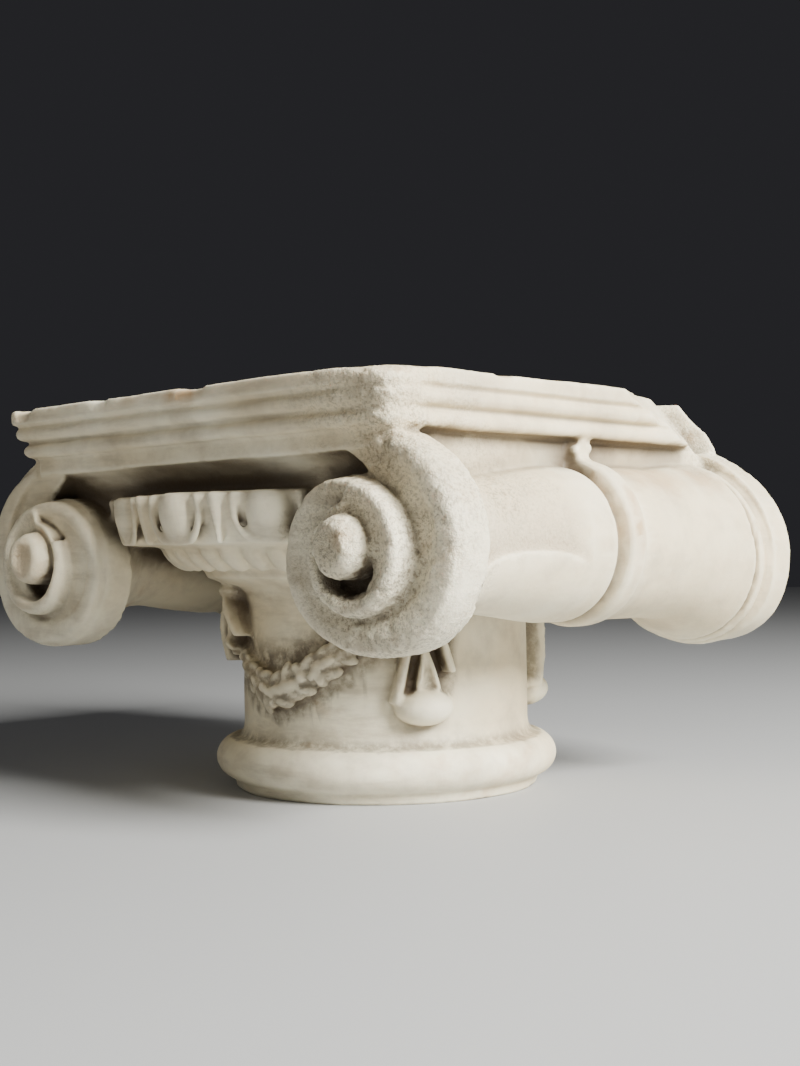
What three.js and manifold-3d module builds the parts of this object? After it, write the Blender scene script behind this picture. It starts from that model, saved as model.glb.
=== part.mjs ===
// Small Ionic capital carved from one block of white marble, in millimetres, +Z up.
// The volute faces look along -Y and +Y, the bolsters lie along Y at -X and +X,
// and the origin is at the centre of the flat underside.

import * as THREE from 'three';
import { mergeVertices } from 'three/addons/utils/BufferGeometryUtils.js';
import Module from 'manifold-3d';

// Driving dimensions

const totalHeight = 155;

// Abacus: the square slab on top, with three stepped mouldings
const abacusWidth = 220;
const abacusThickness = 20;
const abacusUndercut = 6;
const abacusCornerRadius = 5;
const mouldingGroove = 1.8;
const arris = 1;

// Corner of the abacus broken off at +X +Y: a long spall down the side and a blunt break behind it
const spallStart = 26;
const spallSetback = 3;
const spallLength = 66;
const spallTurn = 26.5;
const spallSlope = 51;
const stumpSetback = 21;
const stumpTurn = 47;
const stumpSlope = 55;

// Plain block under the abacus, with a hollow channel across both volute faces
const blockWidth = 198;
const listelHeight = 6.5;
const listelSetback = 1.6;
const channelDepth = 12;
const blockHeight = 23;

// Volutes: the outer edge of the spiral at each quarter turn, from the top outer corner inwards
const eyeSpacing = 180;
const eyeDepth = 41;
const eyeRadius = 10.2;
const eyeFront = 118.5;
const eyeShoulder = 7;
const voluteRadii = [41, 43.5, 32, 36.5, 25.5, 24, 19.5, 17, 13];
const spiralStartAngle = 1.25;
const spiralFirstTurn = 0.8;
const bandTurns = 7.4;
const rimTurns = 3.9;
const voluteFloor = 99;
const bandRadius = 5.6;
const bandEndRadius = 3.6;
const bandFront = 104.5;
const bandEndFront = 111;
const rimThickness = 11;
const rimInset = 0.4;
const rimShoulder = 14;
const dishDepth = 3.5;
const dishSlope = 2;

// The four volutes hang unevenly: how far each is below its place
const dropNearRight = 0.5;
const dropNearLeft = 3;
const dropFarRight = 5;
const dropFarLeft = 2.5;

// Bolsters between the volutes, tied by a ring at their middle
const bolsterSpacing = 192;
const bolsterDepth = 38;
const bolsterRadius = 28.5;
const bolsterWaistRadius = 23.5;
const nearFlareRadius = 33.5;
const farFlareRadius = 37;
const flareStart = 0.6;
const flareWidening = 0.06;
const flareSetback = 3.5;
const nearFlareDrop = 1.5;
const tieRadius = 30.6;
const tieWidth = 10;
const tieGroove = 1.5;
const tieLean = 1.2;
const knobRadius = 5;
const knobStretch = 1.3;

// Echinus: a round moulding with eggs above a row of small tongues
const echinusRadius = 113;
const echinusHeight = 19.5;
const echinusLowerRadius = 105.5;
const eggCount = 16;
const eggWidth = 23.5;
const eggRelief = 5;
const dartLean = 8;
const tongueRowRadius = 93.5;
const tongueRowHeight = 9;
const tongueRowLowerRadius = 84;
const tongueCount = 48;
const tongueRelief = 2.4;
const collarRadius = 73;
const collarHeight = 5;
const collarSlope = 2;

// Neck with its garland, and the rounded ring at the foot
const neckRadius = 58.5;
const neckFillet = 3;
const neckFlare = 8;
const torusRadius = 70;
const torusHeight = 16;
const footRadius = 62;
const footHeight = 4.5;
const footFlare = 0.6;
const garlandTurn = 57;
const tasselCount = 4;
const tasselRelief = 11.5;
const tasselWidth = 22;
const tasselLength = 55;
const brokenTassel = 3;
const brokenTasselShare = 0.3;
const swagCount = 2;
const swagLeftDepth = 28;
const swagRightDepth = 6;
const swagLowDepth = 42;
const swagLowShare = 0.34;
const swagThickness = 17;
const swagRelief = 11;
const swagLumps = 8;
const lumpShare = 0.14;
const swagEndShare = 0.6;
const swagCurve = 1.5;

// Levels that follow from the sizes above
const abacusBottom = totalHeight - abacusThickness;
const abacusHalf = abacusWidth / 2;
const blockHalf = blockWidth / 2;
const blockBottom = abacusBottom - blockHeight;
const eyeHeight = abacusBottom - eyeDepth;
const bolsterHeight = abacusBottom - bolsterDepth;
const bolsterEnd = voluteFloor - rimThickness + 1;
const listelFront = abacusHalf - abacusUndercut - listelSetback;
const channelFloor = listelFront - channelDepth;
const echinusTop = abacusBottom - listelHeight - channelDepth + 1;
const echinusBottom = echinusTop - echinusHeight;
const tongueRowBottom = echinusBottom - tongueRowHeight;
const neckTop = tongueRowBottom - collarHeight;
const tasselBottom = neckTop - tasselLength;
const torusTop = footHeight + torusHeight;
const roundSteps = 32;
const quarterTurn = Math.PI / 2;
const seam = 0.6;
const lookAhead = 0.02;

const wasm = await Module();
wasm.setup();

/** Turns a closed three.js geometry into a solid that can be joined and cut. */
function solidOf(geometry) {
  const bare = geometry.clone();
  bare.deleteAttribute('normal');
  bare.deleteAttribute('uv');
  const merged = mergeVertices(bare, 1e-3);
  const mesh = new wasm.Mesh({
    numProp: 3,
    vertProperties: new Float32Array(merged.attributes.position.array),
    triVerts: new Uint32Array(merged.index.array),
  });
  return new wasm.Manifold(mesh);
}

/** Turns a solid back into a geometry with flat faces. */
function geometryOf(solid) {
  const mesh = solid.getMesh();
  const geometry = new THREE.BufferGeometry();
  geometry.setAttribute('position', new THREE.BufferAttribute(mesh.vertProperties, mesh.numProp));
  geometry.setIndex(new THREE.BufferAttribute(mesh.triVerts, 1));
  const flat = geometry.toNonIndexed();
  flat.computeVertexNormals();
  return flat;
}

/** Moves every vertex of a geometry to the place that a function gives it. */
function reshape(geometry, place) {
  const position = geometry.attributes.position;
  const point = new THREE.Vector3();
  for (let i = 0; i < position.count; i += 1) {
    point.fromBufferAttribute(position, i);
    place(point);
    position.setXYZ(i, point.x, point.y, point.z);
  }
  return geometry;
}

/** A solid of revolution about +Z from [radius, height] pairs that run upwards from axis to axis. */
function turned(pairs, steps = roundSteps) {
  const profile = pairs.map(([radius, height]) => new THREE.Vector2(radius, height));
  return new THREE.LatheGeometry(profile, steps).rotateX(quarterTurn);
}

/** A smooth value between a list of values, at a share from 0 to 1 along the list. */
function along(values, share) {
  const curve = new THREE.SplineCurve(values.map((value, i) => new THREE.Vector2(i, value)));
  return curve.getPoint(THREE.MathUtils.clamp(share, 0, 1)).y;
}

/** Joins a list of solids into one. */
function joined(solids) {
  return solids.reduce((whole, solid) => whole.add(solid));
}

/** Copies a solid to the other side of a plane through the origin. */
function withMirror(solid, normal) {
  return solid.add(solid.mirror(normal));
}

/** A point on a square with round corners, at a share of the way round, for a half width. */
function squarePoint(share, half, corner) {
  const sides = 4;
  const side = Math.floor(share * sides + 1e-6);
  const local = share * sides - side;
  const straight = half - corner;
  const cornerShare = 0.5;
  const turn = (side * Math.PI) / 2;
  let across = half;
  let on = 0;
  if (local < cornerShare) {
    const bend = (local / cornerShare) * quarterTurn;
    across = straight + corner * Math.cos(bend);
    on = straight + corner * Math.sin(bend);
    return new THREE.Vector2(across, on).rotateAround(new THREE.Vector2(), turn - quarterTurn);
  }
  on = -straight + (2 * straight * (local - cornerShare)) / (1 - cornerShare);
  return new THREE.Vector2(across, on).rotateAround(new THREE.Vector2(), turn);
}

/** The square slab: a fillet over two rolls, each stepped in below the one above. */
function abacus() {
  const step = abacusThickness / 3;
  const upperLevel = abacusBottom + step;
  const filletLevel = upperLevel + step;
  const lowerFace = abacusHalf - abacusUndercut;
  const upperFace = abacusHalf - abacusUndercut / 3;
  const pairs = [
    [0, abacusBottom],
    [lowerFace - arris, abacusBottom],
    [lowerFace, abacusBottom + arris],
    [(lowerFace + upperFace) / 2, upperLevel - arris],
    [lowerFace + arris, upperLevel],
    [upperFace, upperLevel + arris],
    [upperFace + arris, (upperLevel + filletLevel) / 2],
    [upperFace + arris / 2, filletLevel - arris],
    [abacusHalf - abacusUndercut / 3 - mouldingGroove, filletLevel],
    [abacusHalf - arris / 2, filletLevel + arris / 2],
    [abacusHalf, filletLevel + 1.5 * arris],
    [abacusHalf, totalHeight - arris],
    [abacusHalf - arris, totalHeight],
    [0, totalHeight],
  ];
  const cornerSteps = 3;
  const steps = 4 * 2 * cornerSteps;
  const geometry = reshape(turned(pairs, steps), (point) => {
    const radius = Math.hypot(point.x, point.y);
    const share = (Math.atan2(point.y, point.x) / (2 * Math.PI) + 1) % 1;
    const placed = squarePoint(share, radius, abacusCornerRadius * Math.min(1, radius / abacusHalf));
    point.set(placed.x, placed.y, point.z);
  });
  return solidOf(geometry);
}

/** A block with one face on a point, its outward normal turned from +X and raised by two angles. */
function cutter(point, turn, slope, size) {
  const geometry = new THREE.BoxGeometry(size.x, size.y, size.z);
  geometry.translate(size.x / 2, 0, 0);
  geometry.rotateY(-THREE.MathUtils.degToRad(90 - slope));
  geometry.rotateZ(THREE.MathUtils.degToRad(turn));
  geometry.translate(point.x, point.y, point.z);
  return solidOf(geometry);
}

/** What has broken off the +X +Y corner: a spall along the side and the tip behind it. */
function brokenCorner() {
  const start = new THREE.Vector3(abacusHalf - spallSetback, spallStart, totalHeight);
  const reach = 2 * spallLength;
  const spall = cutter(start, spallTurn, spallSlope, new THREE.Vector3(abacusWidth, reach, abacusWidth));
  const tip = new THREE.Vector3(abacusHalf - stumpSetback, abacusHalf - stumpSetback, totalHeight);
  const stump = cutter(tip, stumpTurn, stumpSlope, new THREE.Vector3(abacusWidth, abacusWidth, abacusWidth));
  return spall.add(stump);
}

/** The plain block, with a hollow channel under a listel on both volute faces. */
function block() {
  const outline = new THREE.Shape();
  const listelBottom = abacusBottom - listelHeight;
  const sink = abacusThickness / 4;
  outline.moveTo(-channelFloor, blockBottom);
  outline.lineTo(channelFloor, blockBottom);
  outline.lineTo(channelFloor, listelBottom - channelDepth);
  outline.absarc(listelFront, listelBottom - channelDepth, channelDepth, Math.PI, quarterTurn, true);
  outline.lineTo(listelFront, abacusBottom + sink);
  outline.lineTo(-listelFront, abacusBottom + sink);
  outline.lineTo(-listelFront, listelBottom);
  outline.absarc(-listelFront, listelBottom - channelDepth, channelDepth, quarterTurn, 0, true);
  outline.lineTo(-channelFloor, blockBottom);
  const geometry = new THREE.ExtrudeGeometry(outline, {
    depth: blockWidth,
    bevelEnabled: false,
    curveSegments: 4,
  });
  geometry.translate(0, 0, -blockHalf);
  geometry.rotateX(quarterTurn);
  geometry.rotateZ(quarterTurn);
  return solidOf(geometry);
}

/** The round core: foot, rounded ring, neck, collar and the two sloping rows of the echinus. */
function core() {
  const ringMiddle = (footHeight + torusTop) / 2;
  const ringHalf = torusHeight / 2;
  const eggBed = echinusRadius - eggRelief / 2;
  const pairs = [[0, 0], [footRadius, 0], [footRadius + footFlare, footHeight]];
  const ringSteps = 5;
  for (let i = 1; i < ringSteps; i += 1) {
    const angle = -quarterTurn + (Math.PI * i) / ringSteps;
    const out = ringHalf * Math.cos(angle);
    pairs.push([torusRadius - ringHalf + out, ringMiddle + ringHalf * Math.sin(angle)]);
  }
  pairs.push([neckRadius + neckFillet / 3, torusTop]);
  pairs.push([neckRadius, torusTop + neckFillet]);
  pairs.push([neckRadius, neckTop - neckFlare]);
  pairs.push([neckRadius + neckFillet, neckTop - neckFlare / 4]);
  pairs.push([collarRadius - 2 * collarSlope, neckTop]);
  pairs.push([collarRadius, neckTop + neckFillet / 2]);
  pairs.push([collarRadius + collarSlope, tongueRowBottom]);
  pairs.push([tongueRowLowerRadius - tongueRelief, tongueRowBottom]);
  pairs.push([tongueRowRadius - tongueRelief, echinusBottom]);
  pairs.push([echinusLowerRadius - eggRelief / 2, echinusBottom]);
  pairs.push([eggBed - eggRelief / 4, echinusBottom + echinusHeight / 2]);
  pairs.push([eggBed, echinusTop]);
  pairs.push([0, echinusTop + collarSlope]);
  return solidOf(turned(pairs));
}

/** A ball stretched to half widths as shares of the egg's width, relief and height, and its place. */
function eggBall(wide, deep, high, setback, drop) {
  const ball = new THREE.SphereGeometry(1, 8, 5);
  ball.scale(eggWidth * wide, eggRelief * deep, echinusHeight * high);
  ball.translate(0, -echinusRadius + eggRelief * setback, echinusTop - echinusHeight * drop);
  return solidOf(ball);
}

/** One egg at the front of the echinus, cut flat on top, with the narrow husk round it. */
function egg() {
  const body = eggBall(0.4, 1.7, 0.62, 1.5, 0.38);
  const husk = eggBall(0.62, 1.2, 0.78, 1.6, 0.3);
  const slab = new THREE.BoxGeometry(abacusWidth, abacusWidth, echinusHeight + 2 * seam);
  slab.translate(0, -echinusRadius, echinusTop - echinusHeight / 2);
  return body.add(husk).intersect(solidOf(slab));
}

/** The pointed dart between two eggs. */
function dart() {
  const sides = 4;
  const geometry = new THREE.ConeGeometry(eggWidth / sides, echinusHeight + 2 * arris, sides);
  geometry.rotateX(THREE.MathUtils.degToRad(dartLean) - quarterTurn);
  geometry.translate(0, -echinusRadius + eggRelief, echinusTop - echinusHeight / 2);
  return solidOf(geometry);
}

/** The eggs and darts that show between the volutes, on both faces. */
function eggRow() {
  const pitch = 360 / eggCount;
  const shown = 1;
  const solids = [];
  for (const face of [0, 180]) {
    for (let i = -shown; i <= shown; i += 1) {
      solids.push(egg().rotate([0, 0, face + i * pitch]));
    }
    for (let i = -shown - 1; i <= shown; i += 1) {
      solids.push(dart().rotate([0, 0, face + (i + 0.5) * pitch]));
    }
  }
  return joined(solids);
}

/** The row of small leaning tongues under the eggs. */
function tongueRow() {
  const pitch = 360 / tongueCount;
  const middleRadius = (tongueRowRadius + tongueRowLowerRadius) / 2;
  const lean = Math.atan2(tongueRowRadius - tongueRowLowerRadius, tongueRowHeight);
  const length = Math.hypot(tongueRowRadius - tongueRowLowerRadius, tongueRowHeight);
  const solids = [];
  for (let i = 0; i < tongueCount; i += 1) {
    const turn = ((i + 0.5) * 2 * Math.PI) / tongueCount;
    if (Math.abs(Math.sin(turn)) * middleRadius > bolsterSpacing / 2 - bolsterRadius / 2) {
      continue;
    }
    const geometry = new THREE.SphereGeometry(1, 4, 3);
    geometry.scale((middleRadius * Math.PI) / tongueCount, 1.5 * tongueRelief, 0.6 * length);
    geometry.rotateX(lean);
    geometry.translate(0, -middleRadius + tongueRelief, (echinusBottom + tongueRowBottom) / 2 + seam);
    solids.push(solidOf(geometry).rotate([0, 0, (i + 0.5) * pitch]));
  }
  return joined(solids);
}

/** A point of the volute spiral, seen from the front, at a number of quarter turns inwards. */
function spiralPoint(quarters, inset, drop) {
  const first = quarters / spiralFirstTurn;
  const later = quarters - spiralFirstTurn;
  const angle = first < 1 ? spiralStartAngle * (1 - first) : -later * quarterTurn;
  const index = first < 1 ? first : later + 1;
  const stretch = drop * Math.max(0, 1 - first);
  const radius = along(voluteRadii, index / (voluteRadii.length - 1)) - inset + stretch;
  return new THREE.Vector2(
    eyeSpacing / 2 + radius * Math.cos(angle),
    eyeHeight - drop + radius * Math.sin(angle),
  );
}

/** The raised band that winds from the corner of the slab into the eye, thinner as it goes. */
function voluteBand(drop) {
  const steps = 20;
  const outline = new THREE.Shape();
  const startShare = 0.35;
  const startTurns = 0.6;
  const riseStart = 3;
  const riseTurns = 3.4;
  outline.absarc(0, 0, 1, 0, 2 * Math.PI);
  const geometry = new THREE.ExtrudeGeometry(outline, {
    depth: 1,
    steps,
    bevelEnabled: false,
    curveSegments: 3,
  });
  reshape(geometry, (point) => {
    const share = point.z;
    const quarters = share * bandTurns;
    const thickness = THREE.MathUtils.lerp(bandRadius, bandEndRadius, share);
    const start = Math.min(1, startShare + quarters / startTurns);
    const middle = spiralPoint(quarters, thickness, drop);
    const ahead = spiralPoint(quarters + lookAhead, thickness, drop);
    const heading = ahead.sub(middle).normalize();
    const rise = THREE.MathUtils.clamp((quarters - riseStart) / riseTurns, 0, 1);
    const front = THREE.MathUtils.lerp(bandFront, bandEndFront, rise);
    const out = point.x * thickness * start;
    const x = middle.x - heading.y * out;
    const z = middle.y + heading.x * out;
    point.set(x, -front + 1.4 * thickness * (1 - point.y * start), z);
  });
  return solidOf(geometry);
}

/** The disc behind the band: the floor of the channel and the plain rim of the volute. */
function voluteDrum(drop) {
  const outline = new THREE.Shape();
  const steps = 18;
  for (let i = 0; i <= steps; i += 1) {
    const point = spiralPoint((rimTurns * i) / steps, rimInset, drop);
    if (i === 0) {
      outline.moveTo(point.x, point.y);
    } else {
      outline.lineTo(point.x, point.y);
    }
  }
  outline.lineTo(eyeSpacing / 2 - rimShoulder, abacusBottom - 2 * arris);
  const geometry = new THREE.ExtrudeGeometry(outline, { depth: rimThickness, bevelEnabled: false });
  geometry.rotateX(quarterTurn);
  geometry.translate(0, -voluteFloor + rimThickness, 0);
  const dishFront = bandEndFront - dishDepth;
  const dishBack = voluteFloor - arris;
  const dishRadius = voluteRadii[5] - dishSlope;
  const dish = new THREE.CylinderGeometry(dishRadius, dishRadius + dishSlope, dishFront - dishBack, 12);
  dish.translate(eyeSpacing / 2, -(dishFront + dishBack) / 2, eyeHeight - drop);
  return solidOf(geometry).add(solidOf(dish));
}

/** The domed eye at the middle of the spiral. */
function voluteEye(drop) {
  const length = eyeFront - voluteFloor;
  const pairs = [
    [0, 0],
    [eyeRadius, 0],
    [eyeRadius, length - eyeShoulder],
    [(2 * eyeRadius) / 3, length - eyeShoulder / 5],
    [0, length],
  ];
  const geometry = turned(pairs, 10);
  geometry.rotateX(quarterTurn);
  geometry.translate(eyeSpacing / 2, -voluteFloor, eyeHeight - drop);
  return solidOf(geometry);
}

/** One volute at +X on the -Y face. */
function volute(drop) {
  return joined([voluteDrum(drop), voluteBand(drop), voluteEye(drop)]);
}

/** All four volutes. */
function volutes() {
  const acrossX = [1, 0, 0];
  const acrossY = [0, 1, 0];
  return joined([
    volute(dropNearRight),
    volute(dropNearLeft).mirror(acrossX),
    volute(dropFarRight).mirror(acrossY),
    volute(dropFarLeft).mirror(acrossX).mirror(acrossY),
  ]);
}

/** The bolster at +X: a waisted half towards -Y and a fuller one towards +Y, tied by a ring. */
function bolster() {
  const end = bolsterEnd;
  const groove = tieWidth / 2 + tieGroove;
  const tieEdge = tieRadius - tieGroove;
  const bed = bolsterRadius - tieGroove;
  const nearWaist = (share) => THREE.MathUtils.lerp(bolsterWaistRadius, nearFlareRadius, share);
  const nearSwell = (share) => THREE.MathUtils.lerp(bolsterWaistRadius, bolsterRadius, share);
  const farSwell = (share) => THREE.MathUtils.lerp(bolsterRadius, farFlareRadius, share);
  const pairs = [
    [0, -end],
    [nearFlareRadius, -end],
    [nearWaist(0.45), -end * 0.89],
    [bolsterWaistRadius, -end * 0.71],
    [nearSwell(0.3), -end * 0.5],
    [nearSwell(0.9), -end * 0.28],
    [bed, -groove],
    [tieEdge, -tieWidth / 2],
    [tieRadius, -tieWidth / 4],
    [tieRadius, tieWidth / 4],
    [tieEdge, tieWidth / 2],
    [bed, groove],
    [farSwell(0.07), end * 0.3],
    [farSwell(0.06), end * 0.5],
    [farSwell(0.35), end * 0.66],
    [farSwell(0.76), end * 0.84],
    [farFlareRadius, end],
    [0, end],
  ];
  const steps = 20;
  const geometry = turned(pairs, steps);
  geometry.rotateX(-quarterTurn);
  reshape(geometry, (point) => {
    const flare = Math.max(0, (Math.abs(point.y) / end - flareStart) / (1 - flareStart));
    const drop = point.y > 0 ? dropFarRight : nearFlareDrop;
    const onTie = Math.abs(point.y) <= tieWidth / 2 ? tieLean : 0;
    point.x *= 1 + flareWidening * flare;
    point.x += onTie - flareSetback * flare;
    point.z += onTie / 2 - drop * flare;
  });
  geometry.translate(bolsterSpacing / 2, 0, bolsterHeight);
  const knob = new THREE.SphereGeometry(knobRadius, 8, 6);
  knob.scale(1, knobStretch, 1);
  knob.translate(blockHalf, 0, abacusBottom - knobRadius + seam);
  return solidOf(geometry).add(solidOf(knob));
}

/** The hanging garland between two tassels, a fat rope of rounded leaves and fruit. */
function swag() {
  const steps = swagLumps * 2;
  const outline = new THREE.Shape();
  outline.absarc(0, 0, 1, 0, 2 * Math.PI);
  const geometry = new THREE.ExtrudeGeometry(outline, {
    depth: 1,
    steps,
    bevelEnabled: false,
    curveSegments: 3,
  });
  const span = (2 * Math.PI) / tasselCount - tasselWidth / 4 / neckRadius;
  reshape(geometry, (point) => {
    const share = 1 - point.z;
    const angle = (share - 0.5) * span;
    const lump = 1 - lumpShare + lumpShare * Math.cos(2 * Math.PI * share * swagLumps);
    const fat = THREE.MathUtils.lerp(swagEndShare, 1, Math.sin(Math.PI * share)) * lump;
    const middle = swagHeight(share);
    const rise = swagHeight(share + lookAhead) - swagHeight(share - lookAhead);
    const slope = Math.atan(rise / (2 * lookAhead * span * neckRadius));
    const radius = neckRadius - 2 * seam + point.x * fat * swagRelief;
    const up = (point.y * fat * swagThickness) / 2;
    const turn = angle - (up * Math.sin(slope)) / neckRadius;
    point.set(radius * Math.sin(turn), -radius * Math.cos(turn), middle + up * Math.cos(slope));
  });
  return solidOf(geometry);
}

/** How high the garland hangs at a share of its span: lowest near its left end. */
function swagHeight(share) {
  const left = Math.max(0, (swagLowShare - share) / swagLowShare);
  const right = Math.max(0, (share - swagLowShare) / (1 - swagLowShare));
  return neckTop - swagLowDepth
    + (swagLowDepth - swagLeftDepth) * left ** swagCurve
    + (swagLowDepth - swagRightDepth) * right ** swagCurve;
}

/** A tassel: a knot over ribbon tails that spread into a round bulb, less the share lost below. */
function tassel(lost) {
  const length = tasselLength;
  const half = tasselWidth / 2;
  const shares = [[1, 0.1], [0.95, 0.22], [0.7, 0.5], [0.6, 0.7], [0.85, 0.84], [0.6, 1]];
  const kept = shares.filter(([, place]) => place > lost);
  const pairs = [
    [0, length * lost],
    [half * 0.6, length * lost],
    ...kept.map(([wide, place]) => [half * wide, length * place]),
    [0, length],
  ];
  const geometry = reshape(turned(pairs, 8), (point) => {
    const ring = Math.max(1, Math.hypot(point.x, point.y));
    point.y *= (tasselRelief / half) * Math.sqrt(half / ring);
  });
  geometry.translate(0, -neckRadius, tasselBottom);
  const slit = new THREE.ConeGeometry(half * 0.28, length * 0.45, 3);
  slit.rotateX(quarterTurn);
  slit.translate(0, -neckRadius - tasselRelief, tasselBottom + length / 2);
  return solidOf(geometry).subtract(solidOf(slit));
}

/** Four tassels round the neck, and a swag between two of them on each volute face. */
function garland() {
  const pitch = 360 / tasselCount;
  const solids = [];
  for (let i = 0; i < tasselCount; i += 1) {
    const lost = i === brokenTassel ? brokenTasselShare : 0;
    solids.push(tassel(lost).rotate([0, 0, garlandTurn + i * pitch]));
  }
  for (let i = 0; i < swagCount; i += 1) {
    solids.push(swag().rotate([0, 0, garlandTurn - pitch / 2 + (i * 360) / swagCount]));
  }
  return joined(solids);
}

const slab = abacus().add(block()).subtract(brokenCorner());
const stone = joined([
  core(),
  eggRow(),
  tongueRow(),
  garland(),
  volutes(),
  withMirror(bolster(), [1, 0, 0]),
  slab,
]);

const marble = new THREE.MeshStandardMaterial({ color: 0xd9d2c0, roughness: 0.72, metalness: 0 });
const capital = new THREE.Mesh(geometryOf(stone), marble);
capital.name = 'capital';

const group = new THREE.Group();
group.add(capital);

export default group;
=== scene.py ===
"""Small weathered marble Ionic capital: the fine carved stone, its finish, and a plain studio.

The stone is carved in millimetres from turned, swept and rounded forms, joined into one skin,
weathered, and scaled to metres. +Z is up, the volute faces look along -Y and +Y, and the broken
corner of the slab is at +X +Y.
"""

import logging
import math
import random
from collections.abc import Callable, Sequence
from dataclasses import dataclass, field
from enum import Enum

import bmesh
import bpy
import numpy as np
from bmesh.types import BMEdge, BMesh, BMVert
from mathutils import Euler, Matrix, Vector
from mathutils.bvhtree import BVHTree


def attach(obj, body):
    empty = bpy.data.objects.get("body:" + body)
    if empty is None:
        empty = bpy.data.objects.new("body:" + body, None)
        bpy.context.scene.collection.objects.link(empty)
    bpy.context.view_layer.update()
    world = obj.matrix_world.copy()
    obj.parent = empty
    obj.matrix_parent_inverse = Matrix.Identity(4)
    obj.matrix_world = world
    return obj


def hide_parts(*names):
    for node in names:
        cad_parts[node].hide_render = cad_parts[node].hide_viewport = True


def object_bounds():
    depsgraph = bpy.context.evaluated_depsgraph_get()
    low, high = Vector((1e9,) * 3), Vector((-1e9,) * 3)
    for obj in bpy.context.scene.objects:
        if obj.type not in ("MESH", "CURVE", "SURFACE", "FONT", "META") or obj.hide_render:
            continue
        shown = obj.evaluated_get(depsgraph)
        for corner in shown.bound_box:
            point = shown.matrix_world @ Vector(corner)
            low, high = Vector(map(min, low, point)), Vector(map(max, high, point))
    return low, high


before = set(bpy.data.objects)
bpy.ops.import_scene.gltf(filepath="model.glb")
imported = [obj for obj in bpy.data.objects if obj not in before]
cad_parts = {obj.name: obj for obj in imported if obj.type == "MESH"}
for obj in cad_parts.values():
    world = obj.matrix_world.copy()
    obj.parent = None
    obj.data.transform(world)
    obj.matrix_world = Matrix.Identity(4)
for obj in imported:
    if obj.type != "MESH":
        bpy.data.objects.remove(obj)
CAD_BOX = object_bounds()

LOG = logging.getLogger("ionic_capital")
PIECE = "capital_stone"
MILLIMETRE = 0.001
TURN = math.tau
QUARTER = math.pi / 2
DOUBLED = 1e-4
# A leaning volute is out of place twice as far at this height above its middle, and not at all below it.
LEAN_REACH = 30.0
# Large odd numbers that scramble the corners of a lattice and its seed.
SCRAMBLE = (374761393, 668265263, 2147483647, 144665)
STIR = 1274126177
# How steeply a worn place and a stain end, and how ragged their edges are.
WEAR_EDGE = 1.6
STAIN_EDGE = 1.5
RAGGED = 0.35

Point = tuple[float, float, float]
Pair = tuple[float, float]
Place = Callable[[Vector], Vector]
Columns = tuple[np.ndarray, np.ndarray]
Colour = tuple[float, float, float, float]
Socket = bpy.types.NodeSocket


class Detail(Enum):
    """How finely the stone is skinned: voxel in millimetres, triangles kept and rays a point."""

    FULL = (0.8, 194_000, 20)
    DRAFT = (1.5, 90_000, 8)

    @property
    def voxel(self) -> float:
        """The size of the cells that the skin is drawn on."""
        return self.value[0]

    @property
    def triangles(self) -> int:
        """How many triangles are kept."""
        return self.value[1]

    @property
    def rays(self) -> int:
        """How many rays from each point look for stone nearby."""
        return self.value[2]


class Side(Enum):
    """Which of the four volutes is meant, by the signs of its X and Y."""

    NEAR_RIGHT = (1, -1)
    NEAR_LEFT = (-1, -1)
    FAR_RIGHT = (1, 1)
    FAR_LEFT = (-1, 1)


def lerp(low: float, high: float, share: float) -> float:
    """Returns the value at a share of the way from low to high."""
    return low + (high - low) * share


def clamp(value: float, low: float = 0.0, high: float = 1.0) -> float:
    """Returns a value held between two others."""
    return max(low, min(high, value))


def along(values: Sequence[float], share: float) -> float:
    """Reads a smooth curve through evenly spaced values.

    Args:
        values: The values that the curve passes through.
        share: The place along them, from 0 to 1.

    Returns:
        The value there.
    """
    place = clamp(share) * (len(values) - 1)
    index = min(int(place), len(values) - 2)
    local = place - index
    before = values[max(index - 1, 0)]
    start = values[index]
    end = values[index + 1]
    after = values[min(index + 2, len(values) - 1)]
    rise = (end - before) / 2
    fall = (after - start) / 2
    return (
        (2 * start - 2 * end + rise + fall) * local**3
        + (-3 * start + 3 * end - 2 * rise - fall) * local**2
        + rise * local
        + start
    )


def arc(centre: Pair, radius: float, start: float, end: float, steps: int) -> list[Pair]:
    """Makes the points of a round stretch of a profile.

    Args:
        centre: The radius and height of its centre.
        radius: Its own radius.
        start: The angle where it starts, in degrees from outwards.
        end: The angle where it ends.
        steps: How many chords it has.

    Returns:
        The points as radius and height.
    """
    angles = [math.radians(lerp(start, end, i / steps)) for i in range(steps + 1)]
    return [(centre[0] + radius * math.cos(a), centre[1] + radius * math.sin(a)) for a in angles]


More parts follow.
